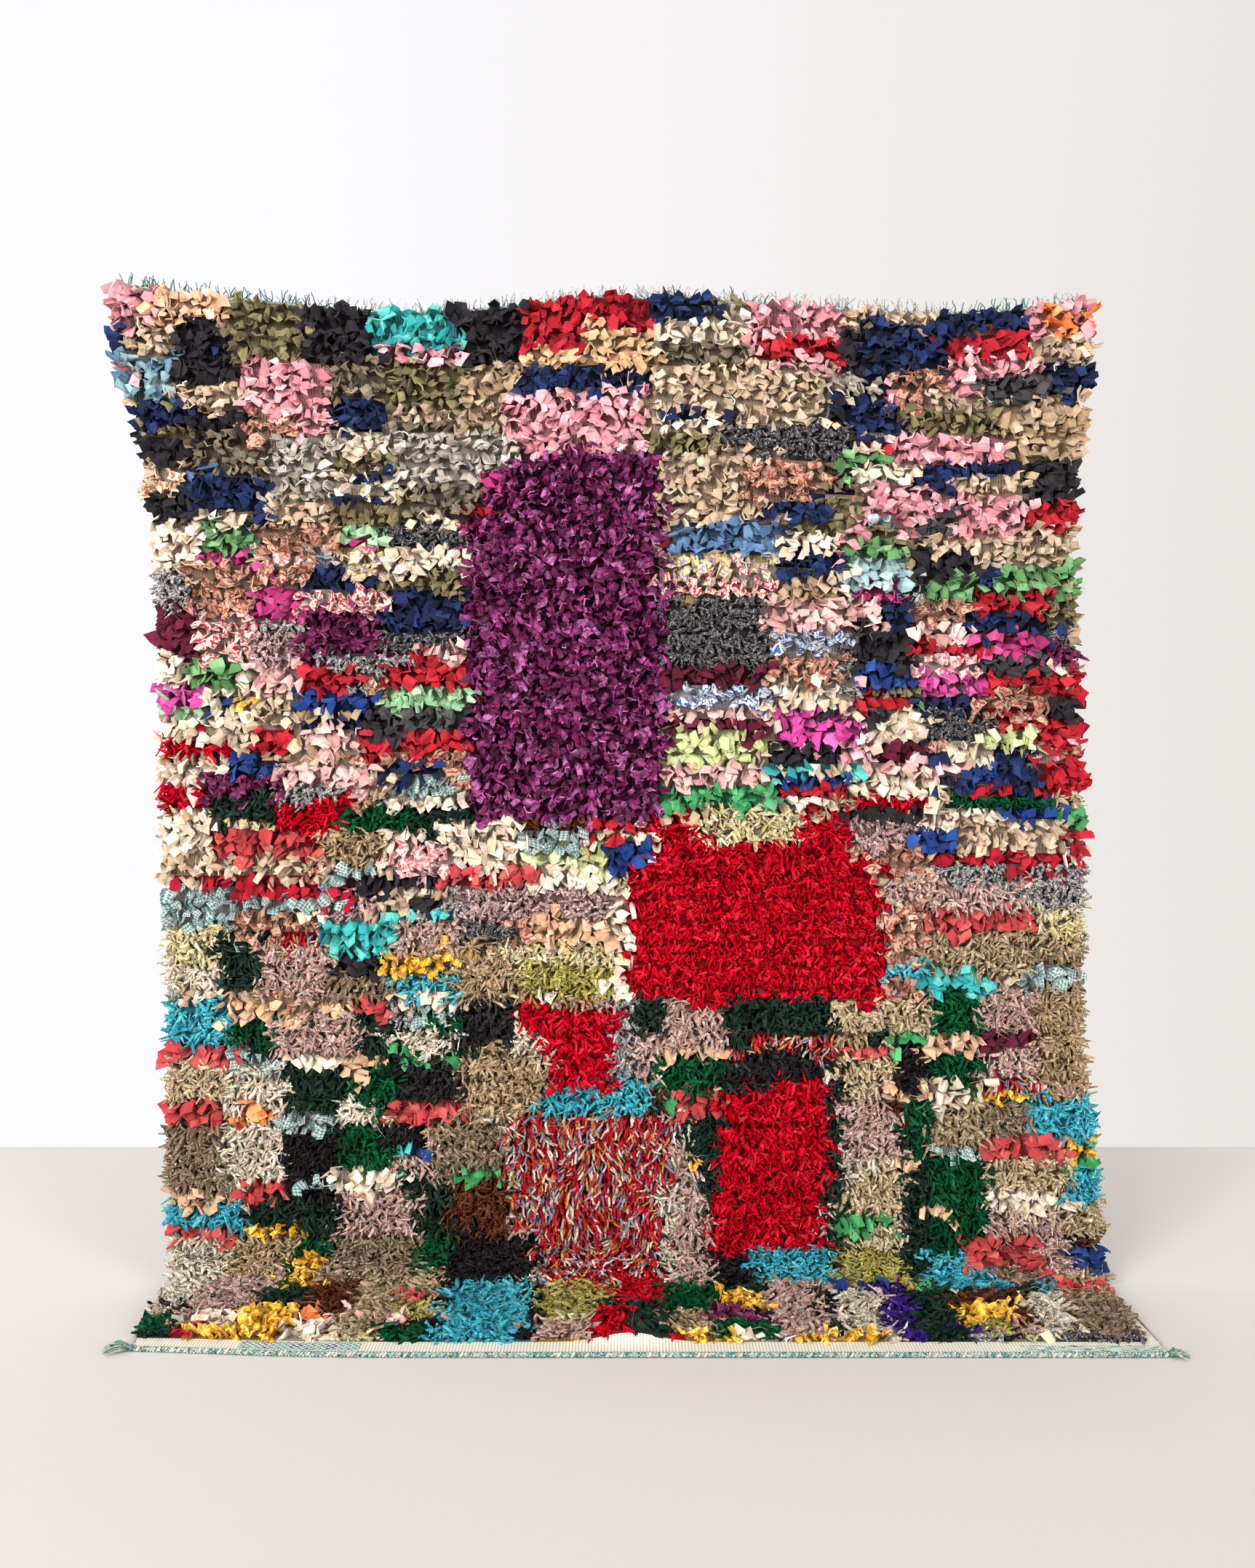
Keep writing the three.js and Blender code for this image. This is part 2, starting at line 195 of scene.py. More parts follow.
# %% The hung surface
def hung(across, down, out):
    """World points of the rug's own coordinates, as an array whose last axis is x, y, z."""
    across, down, out = np.broadcast_arrays(across, down, out)
    lift = top_edge(across) * (1 - smooth(0, SAG_FADE, down))
    wall = (-out - fold(across, down), lift - down)
    turn = np.clip((down - HANGING) / BEND_RADIUS, 0, math.pi / 2)
    radius = BEND_RADIUS - out
    bend = (-BEND_RADIUS + radius * np.cos(turn), MID_FLOOR + BEND_RADIUS - radius * np.sin(turn))
    lying = (down - HANGING - BEND) / (SWEEP - BEND_RADIUS)
    forward = BEND_RADIUS + (SWEEP - BEND_RADIUS) * lying - drawn_back(across) * lying**2
    floor = (-forward, MID_FLOOR + out + ripple(across, down))
    hangs, bends = down <= HANGING, down <= HANGING + BEND
    y, z = (np.where(hangs, w, np.where(bends, b, f)) for w, b, f in zip(wall, bend, floor))
    return np.stack([across, y, z], axis=-1)


corner = hung(-half_width(-1, LENGTH), LENGTH, 0)
print("lower left corner of the weave:", corner.round(3))

# %% [markdown]
# The yarns are what the weaver had: cotton rags, small cut chips, jersey, wool, plied ends and
# tweed. Each line of the table gives a yarn's family, its print, the print's colour and the dyes
# that its tufts are picked from.

# %% Yarns
# Columns: yarn, family, print, print colour, dyes.
YARNS = """
peach       rag    plain   -       e2b895 d8ab88 eac6a8
apricot     rag    plain   -       e2b98f d8ae84 ecc7a0
rose        rag    plain   -       e39ca4 eeb0b6 d98c96 f2c0c4
blush       rag    plain   -       e4b6b0 f0c8c0 d6a49e f2d2c8
sky         rag    plain   -       a9c4c8 bdd2d0 9ab6bc
slate       rag    plain   -       5f80ab 6f90b8 54739c
steel       rag    plain   -       84a4ae 6f8f9e 9ab8bc 5f84a0
navy        rag    plain   -       1a2850 141f3e 223668
royal       rag    plain   -       203f84 1a3570 2c4e96
black       rag    plain   -       29252a 322d32 211e22
charcoal    rag    plain   -       4a4749 575355 3c3a3d
olive       chip   plain   -       817453 71654a 90835f
taupe       chip   plain   -       82735f 91836d 706453
silver      chip   plain   -       c1b8aa aea598 d4cbbd
beige       chip   plain   -       d2b99e ddc8b0 c4a98d
tan         rag    plain   -       bfa486 b29574 cdb498
cream       rag    plain   -       efdcc6 f5e6d4 e6d0b6
red         rag    plain   -       b61a2b a51523 c42838
crimson     rag    plain   -       b3162b a5122a c42237
coral       rag    plain   -       cb4a4c d65f5c bb3f43
magenta     rag    plain   -       c13a7c cf5290 b03070
fuchsia     rag    plain   -       d24a9c dd66ac c03c8c
plum        jersey plain   -       6a1e48 561438 7a2c5a
burgundy    rag    plain   -       601730 6e203a 521326
purple      jersey plain   -       701e52 4a1236 84306a 985084 5a1440
leaf        rag    plain   -       6c9c66 80b07a 598c56
grass       rag    plain   -       46a060 5ab274 368c50
mint        rag    plain   -       9cc79a b0d4ab 8cba8c
palegreen   rag    plain   -       d2da9c dde3b2 c5cd8c
turquoise   rag    plain   -       40b4b2 66ccc4 2ea4a6
mustard     jersey plain   -       e0aa32 eebd50 cf9626
orange      rag    plain   -       f08a4c f5a068 e87c40
emerald     wool   plain   -       145a34 1a663c 0f4a2a
forest      wool   plain   -       283c32 30463a 1f3229
brick       rag    floral  93483c  caa28a ba907a d4b098
pinkprint   rag    floral  d8707c  f2d6cc eecac2 f6e2d8
redprint    rag    floral  c62f42  f0dccf eac9bd f5e6dc
yellowprint rag    floral  a88cc0  ecd58a f2dfa0 e6cb7c
orangeprint rag    floral  c0764e  f0dcc2 ead0b0 f5e6d2
blueprint   rag    floral  3f5f98  d9dbdc c8ccd2 e6e6e4
gingham     rag    checked 2f7a7e  d2d4cc c4c9c2 dedcd6
rosetweed   tweed  flecked 8a7a7c  dcb4ae cfa6a2 e6c4be
tweed       tweed  flecked a4a09c  504d52 605d62 424045
grey        tweed  flecked e2ded8  8f8c8c 9f9c9a 7f7c7e
speckle     yarn   plain   -       c8202f c8202f b81c2c d83a40 c8202f efe0c8 e2d2b8 e08a44 b4acb2 858da6
redwool     wool   plain   -       d20020 ee1030 b2001c f4283e e00828
creamwool   wool   plain   -       f5e4cc f9ecd8 ecd8bc
paleyellow  wool   plain   -       f7e2b0 faeac2 efd89c
oliveyellow wool   plain   -       c4b664 d0c478 b4a654
khakiwool   wool   plain   -       c4ac88 d2bc9a b49c7a
beigewool   wool   plain   -       e0c6a0 e8d2b0 d2b890
tanwool     wool   plain   -       c8aa84 d4b894 b89a76
taupewool   wool   plain   -       a28c72 b09a82 947c64
mauve       wool   plain   -       d8b4a6 e0c2b6 cca496
rosewool    wool   plain   -       e2bcb0 eac9bf d6aea2
turqwool    wool   plain   -       50c0d4 66cede 40b0c6
brownwool   wool   plain   -       6a3c28 7a4832 5c3220
charcoalw   wool   plain   -       333132 3e3b3c 282627
blackwool   wool   plain   -       2a2727 332f30 211e1f
violet      wool   plain   -       44288c 5434a0 362070
"""


def linear(code):
    """Linear red, green and blue of a hex colour: the sRGB curve undone, channel by channel."""
    part = np.array([int(code[k:k + 2], 16) for k in (0, 2, 4)]) / 255
    return np.where(part <= 0.04045, part / 12.92, ((part + 0.055) / 1.055) ** 2.4)


def tones(codes):
    """Linear colours of several codes, a row for each."""
    return np.array([linear(code) for code in codes])


PRINTS = {"plain": 0.0, "floral": 1.0, "checked": 2.0, "flecked": 3.0}
yarns = {}
for line in YARNS.split("\n")[1:-1]:
    name, family, printed, mark, *dyes = line.split()
    yarns[name] = {
        "family": family, "print": PRINTS[printed], "dyes": tones(dyes),
        "mark": linear(dyes[0] if mark == "-" else mark),
    }
yarn_names = list(yarns)


def of_yarns(key, numbers):
    """One property of the yarns with the given numbers."""
    return np.array([yarns[name][key] for name in yarn_names])[numbers]


print(len(yarns), "yarns in", len({y["family"] for y in yarns.values()}), "families")

# %% [markdown]
# The weaver's chart lists the blocks of one yarn, as whole centimetres on the rug: left and right
# of the middle line, top and bottom from the top edge. Later blocks lie over earlier ones. What no
# block covers is filled with short runs of the scraps that the weaver used there.

# %% Weaver's chart
# Entries: yarn left right top bottom.
CHART = {
    "top left": """
peach -76 -55 0 5, rose -77 -71 0 5, black -67 -60 4 9, navy -60 -57 5 9, black -68 -55 8 15,
olive -59 -46 0 10, black -48 -37 0 9, beige -72 -67 5 9, steel -74 -67 9 16, rose -57 -42 9 20,
beige -68 -57 13 17, taupe -45 -36 9 17, black -65 -56 17 21, navy -74 -65 17 20, olive -72 -64 20 22,
black -72 -64 21 26, taupe -65 -52 21 27, brick -56 -49 18 21, navy -44 -36 15 20, cream -44 -36 20 23,
silver -53 -42 21 30, olive -43 -36 23 26, navy -41 -36 26 28, cream -44 -36 27 29, beige -72 -64 25 28,
orangeprint -72 -66 27 31, slate -66 -60 26 30, navy -65 -53 27 34, beige -53 -44 30 34,
navy -43 -36 29 31, olive -44 -36 30 34, black -72 -64 30 34, cream -63 -56 32 34, turquoise -38 -23 0 8,
black -25 -15 0 11, red -15 -6 0 7, red -6 -1 0 4, apricot -16 -6 7 12, apricot -6 -1 4 12,
rose -36 -32 7 10, rose -31 -25 7 11, olive -36 -24 9 16, tan -24 -15 9 19, navy -16 -1 11 15,
beige -35 -24 16 20, rose -18 -1 14 24, taupe -35 -25 18 22, silver -36 -16 19 28, taupe -33 -17 27 32,
magenta -21 -16 26 31, red -25 -21 31 35, cream -34 -25 32 34, olive -35 -32 30 34""",
    "top right": """
red -2 5 0 5, navy 4 14 0 4, cream 4 21 3 7, taupe 4 20 7 11, rose 19 33 0 12, red 20 33 6 9,
apricot -2 5 5 12, navy -2 4 11 14, rose -2 5 13 23, beige 4 31 10 20, navy 6 15 17 19, cream 5 15 18 21,
olive 3 15 20 24, tweed 15 33 19 24, beige 3 25 23 34, brick 18 30 24 30, taupe 29 33 24 28,
navy 21 31 30 33, olive 26 33 33 35, beige 33 48 0 5, cream 35 48 4 8, black 33 36 5 12, navy 36 50 4 12,
navy 47 62 0 4, apricot 49 58 4 8, red 49 62 5 10, rose 49 63 8 13, rose 61 70 0 6, orange 64 69 2 5,
beige 62 70 6 10, navy 63 70 10 14, charcoal 53 65 11 16, navy 33 42 14 20, brick 41 49 10 18,
beige 46 58 14 16, olive 42 59 16 22, tan 58 70 15 24, cream 34 42 20 23, red 34 43 22 24,
rose 40 59 20 27, leaf 33 39 23 27, cream 35 44 24 28, navy 45 61 24 28, black 60 68 24 31,
beige 50 61 26 30, rose 36 51 28 35, rose 51 63 30 35, red 60 68 31 34, sky 37 41 32 35,
charcoal 44 50 32 35""",
    "upper left": """
cream -70 -62 34 42, leaf -63 -55 34 41, brick -54 -43 34 38, mint -42 -36 34 36, magenta -43 -36 36 38,
pinkprint -52 -44 38 41, sky -46 -42 37 43, yellowprint -43 -36 37 43, magenta -64 -56 38 42,
brick -65 -46 40 44, brick -65 -56 42 48, navy -47 -37 41 45, grey -70 -65 41 47, magenta -56 -48 43 48,
redprint -48 -36 43 48, burgundy -70 -63 47 54, redprint -64 -55 47 56, grey -55 -48 48 50,
rosetweed -56 -47 50 55, plum -48 -36 47 55, cream -70 -65 54 58, leaf -65 -55 54 59, blush -56 -48 55 59,
grey -47 -36 53 56, red -48 -40 55 59, fuchsia -70 -63 58 61, cream -63 -55 58 60, navy -63 -59 60 63,
mustard -58 -55 60 63, royal -49 -37 59 62, beige -56 -49 59 66, mint -69 -64 61 63, cream -68 -56 62 67,
tan -49 -39 61 64, navy -49 -40 62 65, black -40 -36 62 65, redwool -70 -58 66 68, red -56 -49 65 68,
blush -48 -40 64 67, red -40 -36 65 69""",
    "beside the purple block": """
tweed -36 -24 33 37, cream -36 -23 37 42, olive -36 -23 41 44, navy -36 -23 44 51, tweed -36 -23 50 53,
blush -32 -23 52 55, red -36 -23 54 58, mint -36 -23 58 63, charcoal -36 -23 61 65, red -36 -23 65 68""",
    "upper right": """
red 4 8 34 40, slate 7 24 34 39, yellowprint 6 23 38 42, redprint 6 23 41 45, olive 9 22 44 47,
tweed 5 23 45 56, burgundy 5 24 55 60, blueprint 6 24 58 62, blush 7 23 61 65, burgundy 6 22 63 65,
palegreen 5 24 65 69, cream 23 33 35 40, navy 23 33 38 41, tan 23 33 41 45, blush 21 33 45 51,
blueprint 22 33 50 53, brick 22 33 53 58, cream 23 33 57 62, black 23 31 61 63, fuchsia 23 33 62 67,
black 22 33 66 69, olive 34 44 35 37, leaf 34 44 36 40, sky 34 45 39 44, magenta 35 43 43 45,
beige 43 68 35 42, black 44 53 38 44, navy 52 63 40 44, leaf 56 67 40 45, leaf 46 55 42 46,
navy 36 43 45 49, brick 43 53 45 49, blush 33 39 45 50, blush 43 55 49 52, red 52 64 44 50,
olive 63 68 45 49, navy 52 64 47 52, magenta 53 63 50 54, black 35 44 49 55, red 44 55 51 55,
plum 63 68 52 55, charcoal 54 64 53 57, pinkprint 44 54 53 57, red 53 68 56 60, royal 36 44 55 58,
fuchsia 44 55 56 60, olive 35 44 58 60, leaf 44 52 59 62, red 35 44 59 63, navy 44 54 60 63,
brick 53 65 59 63, black 64 68 60 63, black 35 41 61 64, red 55 63 62 65, tweed 46 55 62 67,
cream 35 46 62 67, fuchsia 33 37 63 66, palegreen 53 63 64 68, red 62 68 63 67, burgundy 38 45 66 69,
brick 45 53 66 68, cream 48 56 67 69, navy 56 63 67 69""",
    "middle left": """
cream -69 -52 69 73, royal -59 -52 69 72, red -51 -41 69 71, blush -52 -36 70 74, redwool -68 -61 73 76,
plum -63 -51 71 76, forest -62 -52 74 78, grey -51 -42 73 76, redwool -52 -41 75 80,
emerald -42 -36 76 80, cream -69 -60 77 83, yellowprint -59 -52 78 80, coral -62 -44 80 84,
tanwool -45 -36 79 84, beige -69 -48 83 88, gingham -44 -36 84 87, crimson -69 -41 87 90,
black -42 -36 87 89, gingham -69 -58 88 96, gingham -59 -48 90 92, gingham -47 -41 90 91,
brick -58 -45 92 97, speckle -52 -46 94 97, turquoise -46 -36 93 99, paleyellow -69 -60 94 99,
forest -61 -53 95 103, creamwool -68 -60 99 103, mauve -55 -43 97 104, taupewool -44 -33 99 104""",
    "middle": """
navy -36 -27 69 72, gingham -34 -24 72 75, cream -35 -25 74 78, emerald -36 -31 76 80,
forest -31 -23 76 80, brownwool -15 -5 77 80, red -5 3 78 80, gingham -15 -5 79 83, cream -27 -15 78 86,
pinkprint -35 -26 81 86, palegreen -14 -2 82 86, coral -27 -12 85 88, cream -13 -4 85 88,
black -36 -27 86 88, black -33 -27 89 91, rosetweed -25 -2 88 93, tweed -25 -16 93 97,
turquoise -35 -25 92 94, turquoise -36 -33 94 99, mauve -34 -24 93 98, mustard -34 -25 98 100,
turqwool -34 -25 99 104, tanwool -25 -15 96 104, peach -14 -1 92 97, paleyellow -17 1 96 100,
oliveyellow -15 1 99 104, blush 7 23 69 73, grass 5 23 73 77, tan 5 33 76 80""",
    "middle right": """
turquoise 22 36 70 72, royal 23 35 71 73, red 23 34 73 75, royal -2 4 81 86, cream -2 2 88 104,
blush 36 52 69 72, cream 35 47 71 74, royal 52 58 69 72, navy 58 64 71 73, red 63 68 69 74,
redwool 35 46 74 76, red 53 60 73 76, emerald 49 65 74 77, grass 63 70 76 80, black 33 45 76 78,
royal 56 65 76 78, cream 45 54 76 79, leaf 64 68 78 80, rosetweed 33 46 78 82, royal 44 53 79 83,
beige 50 67 78 83, crimson 66 70 80 82, crimson 46 68 83 86, brick 34 47 82 86, grey 45 70 85 88,
rosewool 40 62 87 93, grey 60 70 88 91, coral 45 63 91 96, paleyellow 62 70 91 95, khakiwool 45 70 95 101,
brick 38 46 90 99, turqwool 39 45 99 101, turquoise 45 56 100 104, gingham 60 70 100 103""",
    "upper red block": """
redwool 5 34 77 87, redwool 1 39 85 105, redwool 2 37 84 90, paleyellow 12 27 76 81""",
    "lower middle": """
grey -1 2 105 117, mauve 2 5 110 118, forest 2 6 104 110, redwool -15 0 105 109, redwool -12 -1 109 113,
redwool -11 -1 113 118, turqwool -14 4 117 121""",
    "lower red block": """
forest 10 15 120 130, forest 12 14 129 140, blackwool 13 19 140 146, forest 31 33 117 142,
redwool 15 31 117 125, redwool 14 31 124 134, redwool 13 30 133 141, redwool 15 31 140 142,
turqwool 19 31 141 147, charcoalw 15 31 112 117, forest 15 32 105 111, speckle 15 32 110 112""",
    "lower right": """
coral 32 40 111 113, mauve 6 15 105 111, peach 6 15 111 113, emerald 5 15 113 118, coral 8 14 118 121,
grass 6 8 118 121, beigewool 32 46 105 110, beigewool 33 41 113 119, mauve 33 41 119 128,
creamwool 33 41 128 130, beigewool 33 42 130 142, grass 32 41 136 139, grass 40 43 110 113,
oliveyellow 32 42 141 147, emerald 46 54 104 110, blackwool 41 46 112 117, emerald 46 54 112 117,
emerald 42 46 120 127, forest 42 48 127 146, emerald 47 55 127 145, burgundy 54 63 109 112,
mauve 54 63 103 109, rosewool 54 63 112 118, tanwool 62 68 102 119, turqwool 61 70 119 125,
mustard 67 71 125 128, grass 66 72 127 131, turqwool 66 72 130 134, mauve 55 67 133 143,
beigewool 55 67 128 134, coral 54 66 125 128, royal 67 72 141 144""",
    "lower left": """
turqwool -68 -58 105 111, emerald -58 -52 107 111, mauve -52 -39 106 113, coral -68 -57 111 114,
forest -39 -33 106 113, emerald -34 -23 105 109, charcoalw -25 -16 105 111, creamwool -35 -25 109 112,
grass -35 -23 112 115, tanwool -24 -13 112 121, forest -51 -41 114 121, emerald -42 -34 114 121,
charcoalw -34 -24 114 121, coral -34 -24 120 123, taupewool -28 -18 122 131, blackwool -51 -41 123 131,
emerald -42 -32 122 131, taupewool -69 -56 120 133, creamwool -60 -51 123 132, coral -57 -48 131 136,
peach -68 -56 133 136, turqwool -68 -57 135 138, blackwool -56 -42 132 138, coral -68 -56 138 140,
mustard -57 -48 138 140, creamwool -68 -58 140 145, tanwool -58 -49 140 145, emerald -49 -43 140 146,
mauve -42 -31 132 139, taupewool -44 -28 139 146, brownwool -26 -17 132 140, forest -31 -26 132 139,
emerald -31 -26 139 146, blackwool -26 -13 139 146, grass -26 -18 130 132""",
    "speckled block": """
creamwool 8 10 121 129, creamwool 6 8 129 146, mauve 8 12 129 146, mauve 12 13 136 146,
mustard 8 12 128 129, beigewool -68 -52 114 120, tanwool -56 -50 120 123, speckle -16 8 121 125,
speckle -18 7 125 131, speckle -16 6 131 138, speckle -13 6 138 142, speckle -11 5 142 146""",
    "thin bands": """
coral -68 -59 120 123, orange -59 -51 120 123, gingham -52 -43 121 124, creamwool -43 -36 120 123,
coral -36 -27 120 123, blackwool -36 -30 123 126, turquoise -35 -32 126 128, royal -32 -29 126 128,
mauve -34 -29 128 130, gingham -58 -52 112 115, cream -52 -42 113 115, peach -42 -36 113 115,
creamwool -59 -51 115 120, coral -58 -50 132 135, gingham -50 -43 131 133, cream -43 -33 130 133,
forest -56 -43 134 138, apricot -54 -40 105 107, coral -40 -35 105 107, grey -35 -30 105 107,
gingham -30 -24 105 107, peach -60 -54 104 108, mustard -36 -27 98 101, black -45 -36 98 101,
peach 45 54 110 113, grass 41 46 109 112, cream 46 54 117 120, peach 39 46 117 120,
khakiwool 46 55 120 127, taupewool 55 62 120 126, mustard 55 60 118 120, speckle 55 62 116 118,
blush 63 66 116 118, coral 55 66 125 128, cream 56 66 133 136, khakiwool 66 72 134 140,
gingham 47 54 126 128, apricot 42 46 127 129, apricot 44 49 135 137, taupewool 61 70 97 100""",
    "on the floor, left": """
creamwool -69 -58 143 158, blackwool -67 -64 146 148, blackwool -67 -64 151 155,
blackwool -61 -57 151 156, mauve -59 -50 143 157, forest -50 -44 146 156, mustard -48 -44 142 146,
brownwool -44 -38 144 156, khakiwool -38 -26 143 160, coral -31 -27 147 151, oliveyellow -31 -26 151 156,
cream -59 -50 156 159, mustard -50 -45 154 158, red -45 -42 156 159, orange -43 -40 155 158,
blush -39 -25 156 159, blackwool -33 -25 159 162, blackwool -26 -24 146 157, emerald -69 -59 158 163,
forest -67 -58 162 167, red -59 -55 160 168, mauve -54 -50 159 163, mustard -52 -44 157 163,
mustard -57 -45 163 168, cream -45 -37 158 168, khakiwool -39 -33 158 163, paleyellow -37 -32 163 168,
emerald -32 -25 161 168""",
    "on the floor, middle": """
turqwool -25 -12 144 169, blackwool -13 -11 144 164, oliveyellow -11 -2 144 157, palegreen -7 -2 156 161,
beigewool -12 -6 157 161, mauve -12 -3 160 164, mustard -12 -5 164 168, rosewool -6 -1 162 168,
redwool -1 6 143 157, redwool -4 8 157 169, forest -1 6 153 168, redwool -2 1 161 165,
emerald 6 14 144 155, forest 14 20 145 150, mustard 14 20 148 155, tanwool 6 13 155 163,
plum 11 19 154 158, emerald 13 20 158 164, mustard 8 14 163 169, cream 14 23 164 168,
blackwool 19 21 146 160, mauve 20 28 144 164, blackwool 27 30 146 158, creamwool 29 37 147 164,
royal 28 38 144 147, mustard 22 34 163 168, orangeprint 34 38 165 168""",
    "on the floor, right": """
violet 36 40 145 169, forest 39 47 146 169, grass 41 47 144 146, violet 45 49 152 169,
brownwool 46 57 147 160, mustard 45 54 154 159, oliveyellow 47 52 159 163, mauve 51 55 160 164,
grey 46 50 163 168, palegreen 50 57 164 168, creamwool 55 63 148 164, khakiwool 61 72 143 153,
taupewool 61 72 151 164, tweed 56 72 163 168, turqwool 45 55 142 146, turqwool 55 63 144 147,
coral 51 63 140 143, coral 62 70 144 147, forest 54 60 145 148""",
    "purple block": """
purple -16 5 23 34, purple -19 5 26 33, purple -21 6 29 34, purple -23 6 33 78""",
}
# Scraps for what no block covers, down to so far from the top edge.
SCRAPS = {
    0.34: "beige taupe cream olive navy silver black tan rose",
    0.70: "cream beige rose tan navy tweed grey brick",
    1.04: "cream beige tan rosetweed grey brick khakiwool",
    9.99: "taupewool creamwool mauve blackwool tanwool forest brownwool",
}
# How long a run of one scrap is, how many runs a row gets, where the first starts, and how many
# rows of knots share their runs.
SCRAP_RUN = (0.05, 0.14)
SCRAP_RUNS = 40
SCRAP_START = -0.8
SCRAP_ROWS = 3
# The distance from one row of knots to the next, the rows that fit above the kilim, and the
# distance from knot to knot along a row. One seed is behind everything that is left to chance.
ROW = 0.0165
KNOT_ROWS = int(PILE_END / ROW)
KNOT = 0.009
rng = np.random.default_rng(7)

blocks = [entry.split() for area in CHART.values() for entry in area.split(",")]
chart_box = np.array([[int(x) for x in sides] for _, *sides in blocks]) / 100
chart_yarn = [yarn_names.index(yarn) for yarn, *_ in blocks]


def scraps_at(across, down):
    """Filler yarn of each place: runs of random length, new ones every few rows of knots."""
    band = (down / (SCRAP_ROWS * ROW)).astype(int)
    filler = np.zeros(across.shape, int)
    for number in np.unique(band):
        here = band == number
        zone = next(z for z in SCRAPS if number * SCRAP_ROWS * ROW < z)
        choices = [yarn_names.index(name) for name in SCRAPS[zone].split()]
        ends = np.cumsum(rng.uniform(*SCRAP_RUN, SCRAP_RUNS)) + SCRAP_START
        picks = rng.choice(choices, SCRAP_RUNS + 1)
        filler[here] = picks[np.searchsorted(ends, across[here])]
    return filler


def yarn_at(across, down):
    """Yarn number of each place: the last block of the chart that holds it, or a scrap."""
    down = np.maximum(down, 0.001)
    chosen = scraps_at(across, down)
    for (left, right, top, bottom), yarn in zip(chart_box, chart_yarn):
        inside = (across > left) & (across < right) & (down > top) & (down < bottom)
        chosen[inside] = yarn
    return chosen


print(len(blocks), "blocks in the chart")

# %% [markdown]
# The chart is drawn from in front, by an eye at one place. The tufts stand proud of the weave, so
# from there a tuft covers a place a little away from its knot: lower or higher where the rug
# hangs, further back where it lies. The chart is read there, and follows the sag in part.

# %% Places on the chart
# How far the eye is away, how far below the top edge and how high above the floor.
EYE_AWAY = 2.30
EYE_DOWN = 0.68
EYE_HEIGHT = 0.78
# How far the pile droops, and how far it stands off the weave where it hangs and where it lies.
DROOP = 0.002
PROUD = 0.016
PROUD_LYING = 0.014
# By what share of its width the chart is drawn wider than the weave, and its share of the sag.
WIDENED = 0.022
WIDENED_LYING = -0.011
SAG_FOLLOWED = 0.7


def on_chart(across, down):
    """Where on the chart the pile tied at a place is seen."""
    lying = smooth(HANGING, HANGING + BEND, down)
    hangs = (down - EYE_DOWN) * PROUD / EYE_AWAY
    lies = -PROUD_LYING * EYE_AWAY / EYE_HEIGHT
    sagged = SAG_FOLLOWED * top_edge(across) * (1 - smooth(0, SAG_FADE, down))
    wider = 1 + WIDENED * (1 - lying) + WIDENED_LYING * lying
    return across * wider, down + DROOP - sagged + hangs * (1 - lying) + lies * lying


print("the top middle is read at", [round(float(x), 3) for x in on_chart(np.array(0.0), np.array(0.0))])

# %% [markdown]
# One knot sits every 9 mm along a row, and a row every 16 mm or so. No weaver keeps them dead
# even, so each knot is a little off its place, and the borders of the blocks wander with them.

# %% Knots
# How far in from the sides the pile ends on the floor, left and right.
INSET = {-1: 0.010, 1: 0.020}
# Where the first row sits, as a share of a row, and how far knots stray across and down.
FIRST_ROW = 0.3
STRAY = (0.0016, 0.0012)
# How far single knots miss the border of their block.
BORDER_STRAY = 0.004
# Waves of the borders: how far in metres, and how fast across and from row to row. Whole rows
# are shifted sideways as well.
BORDER_WAVES = [(0.004, 31, 1.7), (0.003, 83, 1.0)]
ROW_SHIFT = 0.005


def pile_half(side, down):
    """How far the pile reaches on one side: to the selvedge, but less far on the floor."""
    return half_width(side, down) - INSET[side] * smooth(HANGING, LENGTH, down)


def knot_grid():
    """Across and down of every knot: rows of even pitch, filled from side to side."""
    pitch = PILE_END / KNOT_ROWS
    across, down, number = [], [], []
    for k in range(KNOT_ROWS):
        at = (k + FIRST_ROW) * pitch
        left, right = -pile_half(-1, at), pile_half(1, at)
        count = int((right - left) / KNOT)
        line = np.linspace(left + KNOT / 2, right - KNOT / 2, count)
        across.append(line + rng.normal(0, STRAY[0], count))
        down.append(at + rng.normal(0, STRAY[1], count))
        number.append(np.full(count, k))
    return [np.concatenate(x) for x in (across, down, number)]


knot_across, knot_down, knot_row = knot_grid()
wander = waves(BORDER_WAVES, knot_across, knot_row)
seen_across, seen_down = on_chart(knot_across, knot_down + wander)
strayed = rng.normal(0, BORDER_STRAY, len(knot_across)) + ROW_SHIFT * np.sin(knot_row * 2.3)
knot_yarn = yarn_at(seen_across + strayed, seen_down)
knot_family = of_yarns("family", knot_yarn)
print(len(knot_across), "knots:", {f: int((knot_family == f).sum()) for f in np.unique(knot_family)})

# %% [markdown]
# All tufts are one kind of shape: a strip or lock that leaves the ground, bends over and hangs.
# A closed loop of points, its cross-section, is carried along a bent line. Rags and chips have a
# flat folded loop of six points, wool and yarn a small three-sided one that is shaded round.

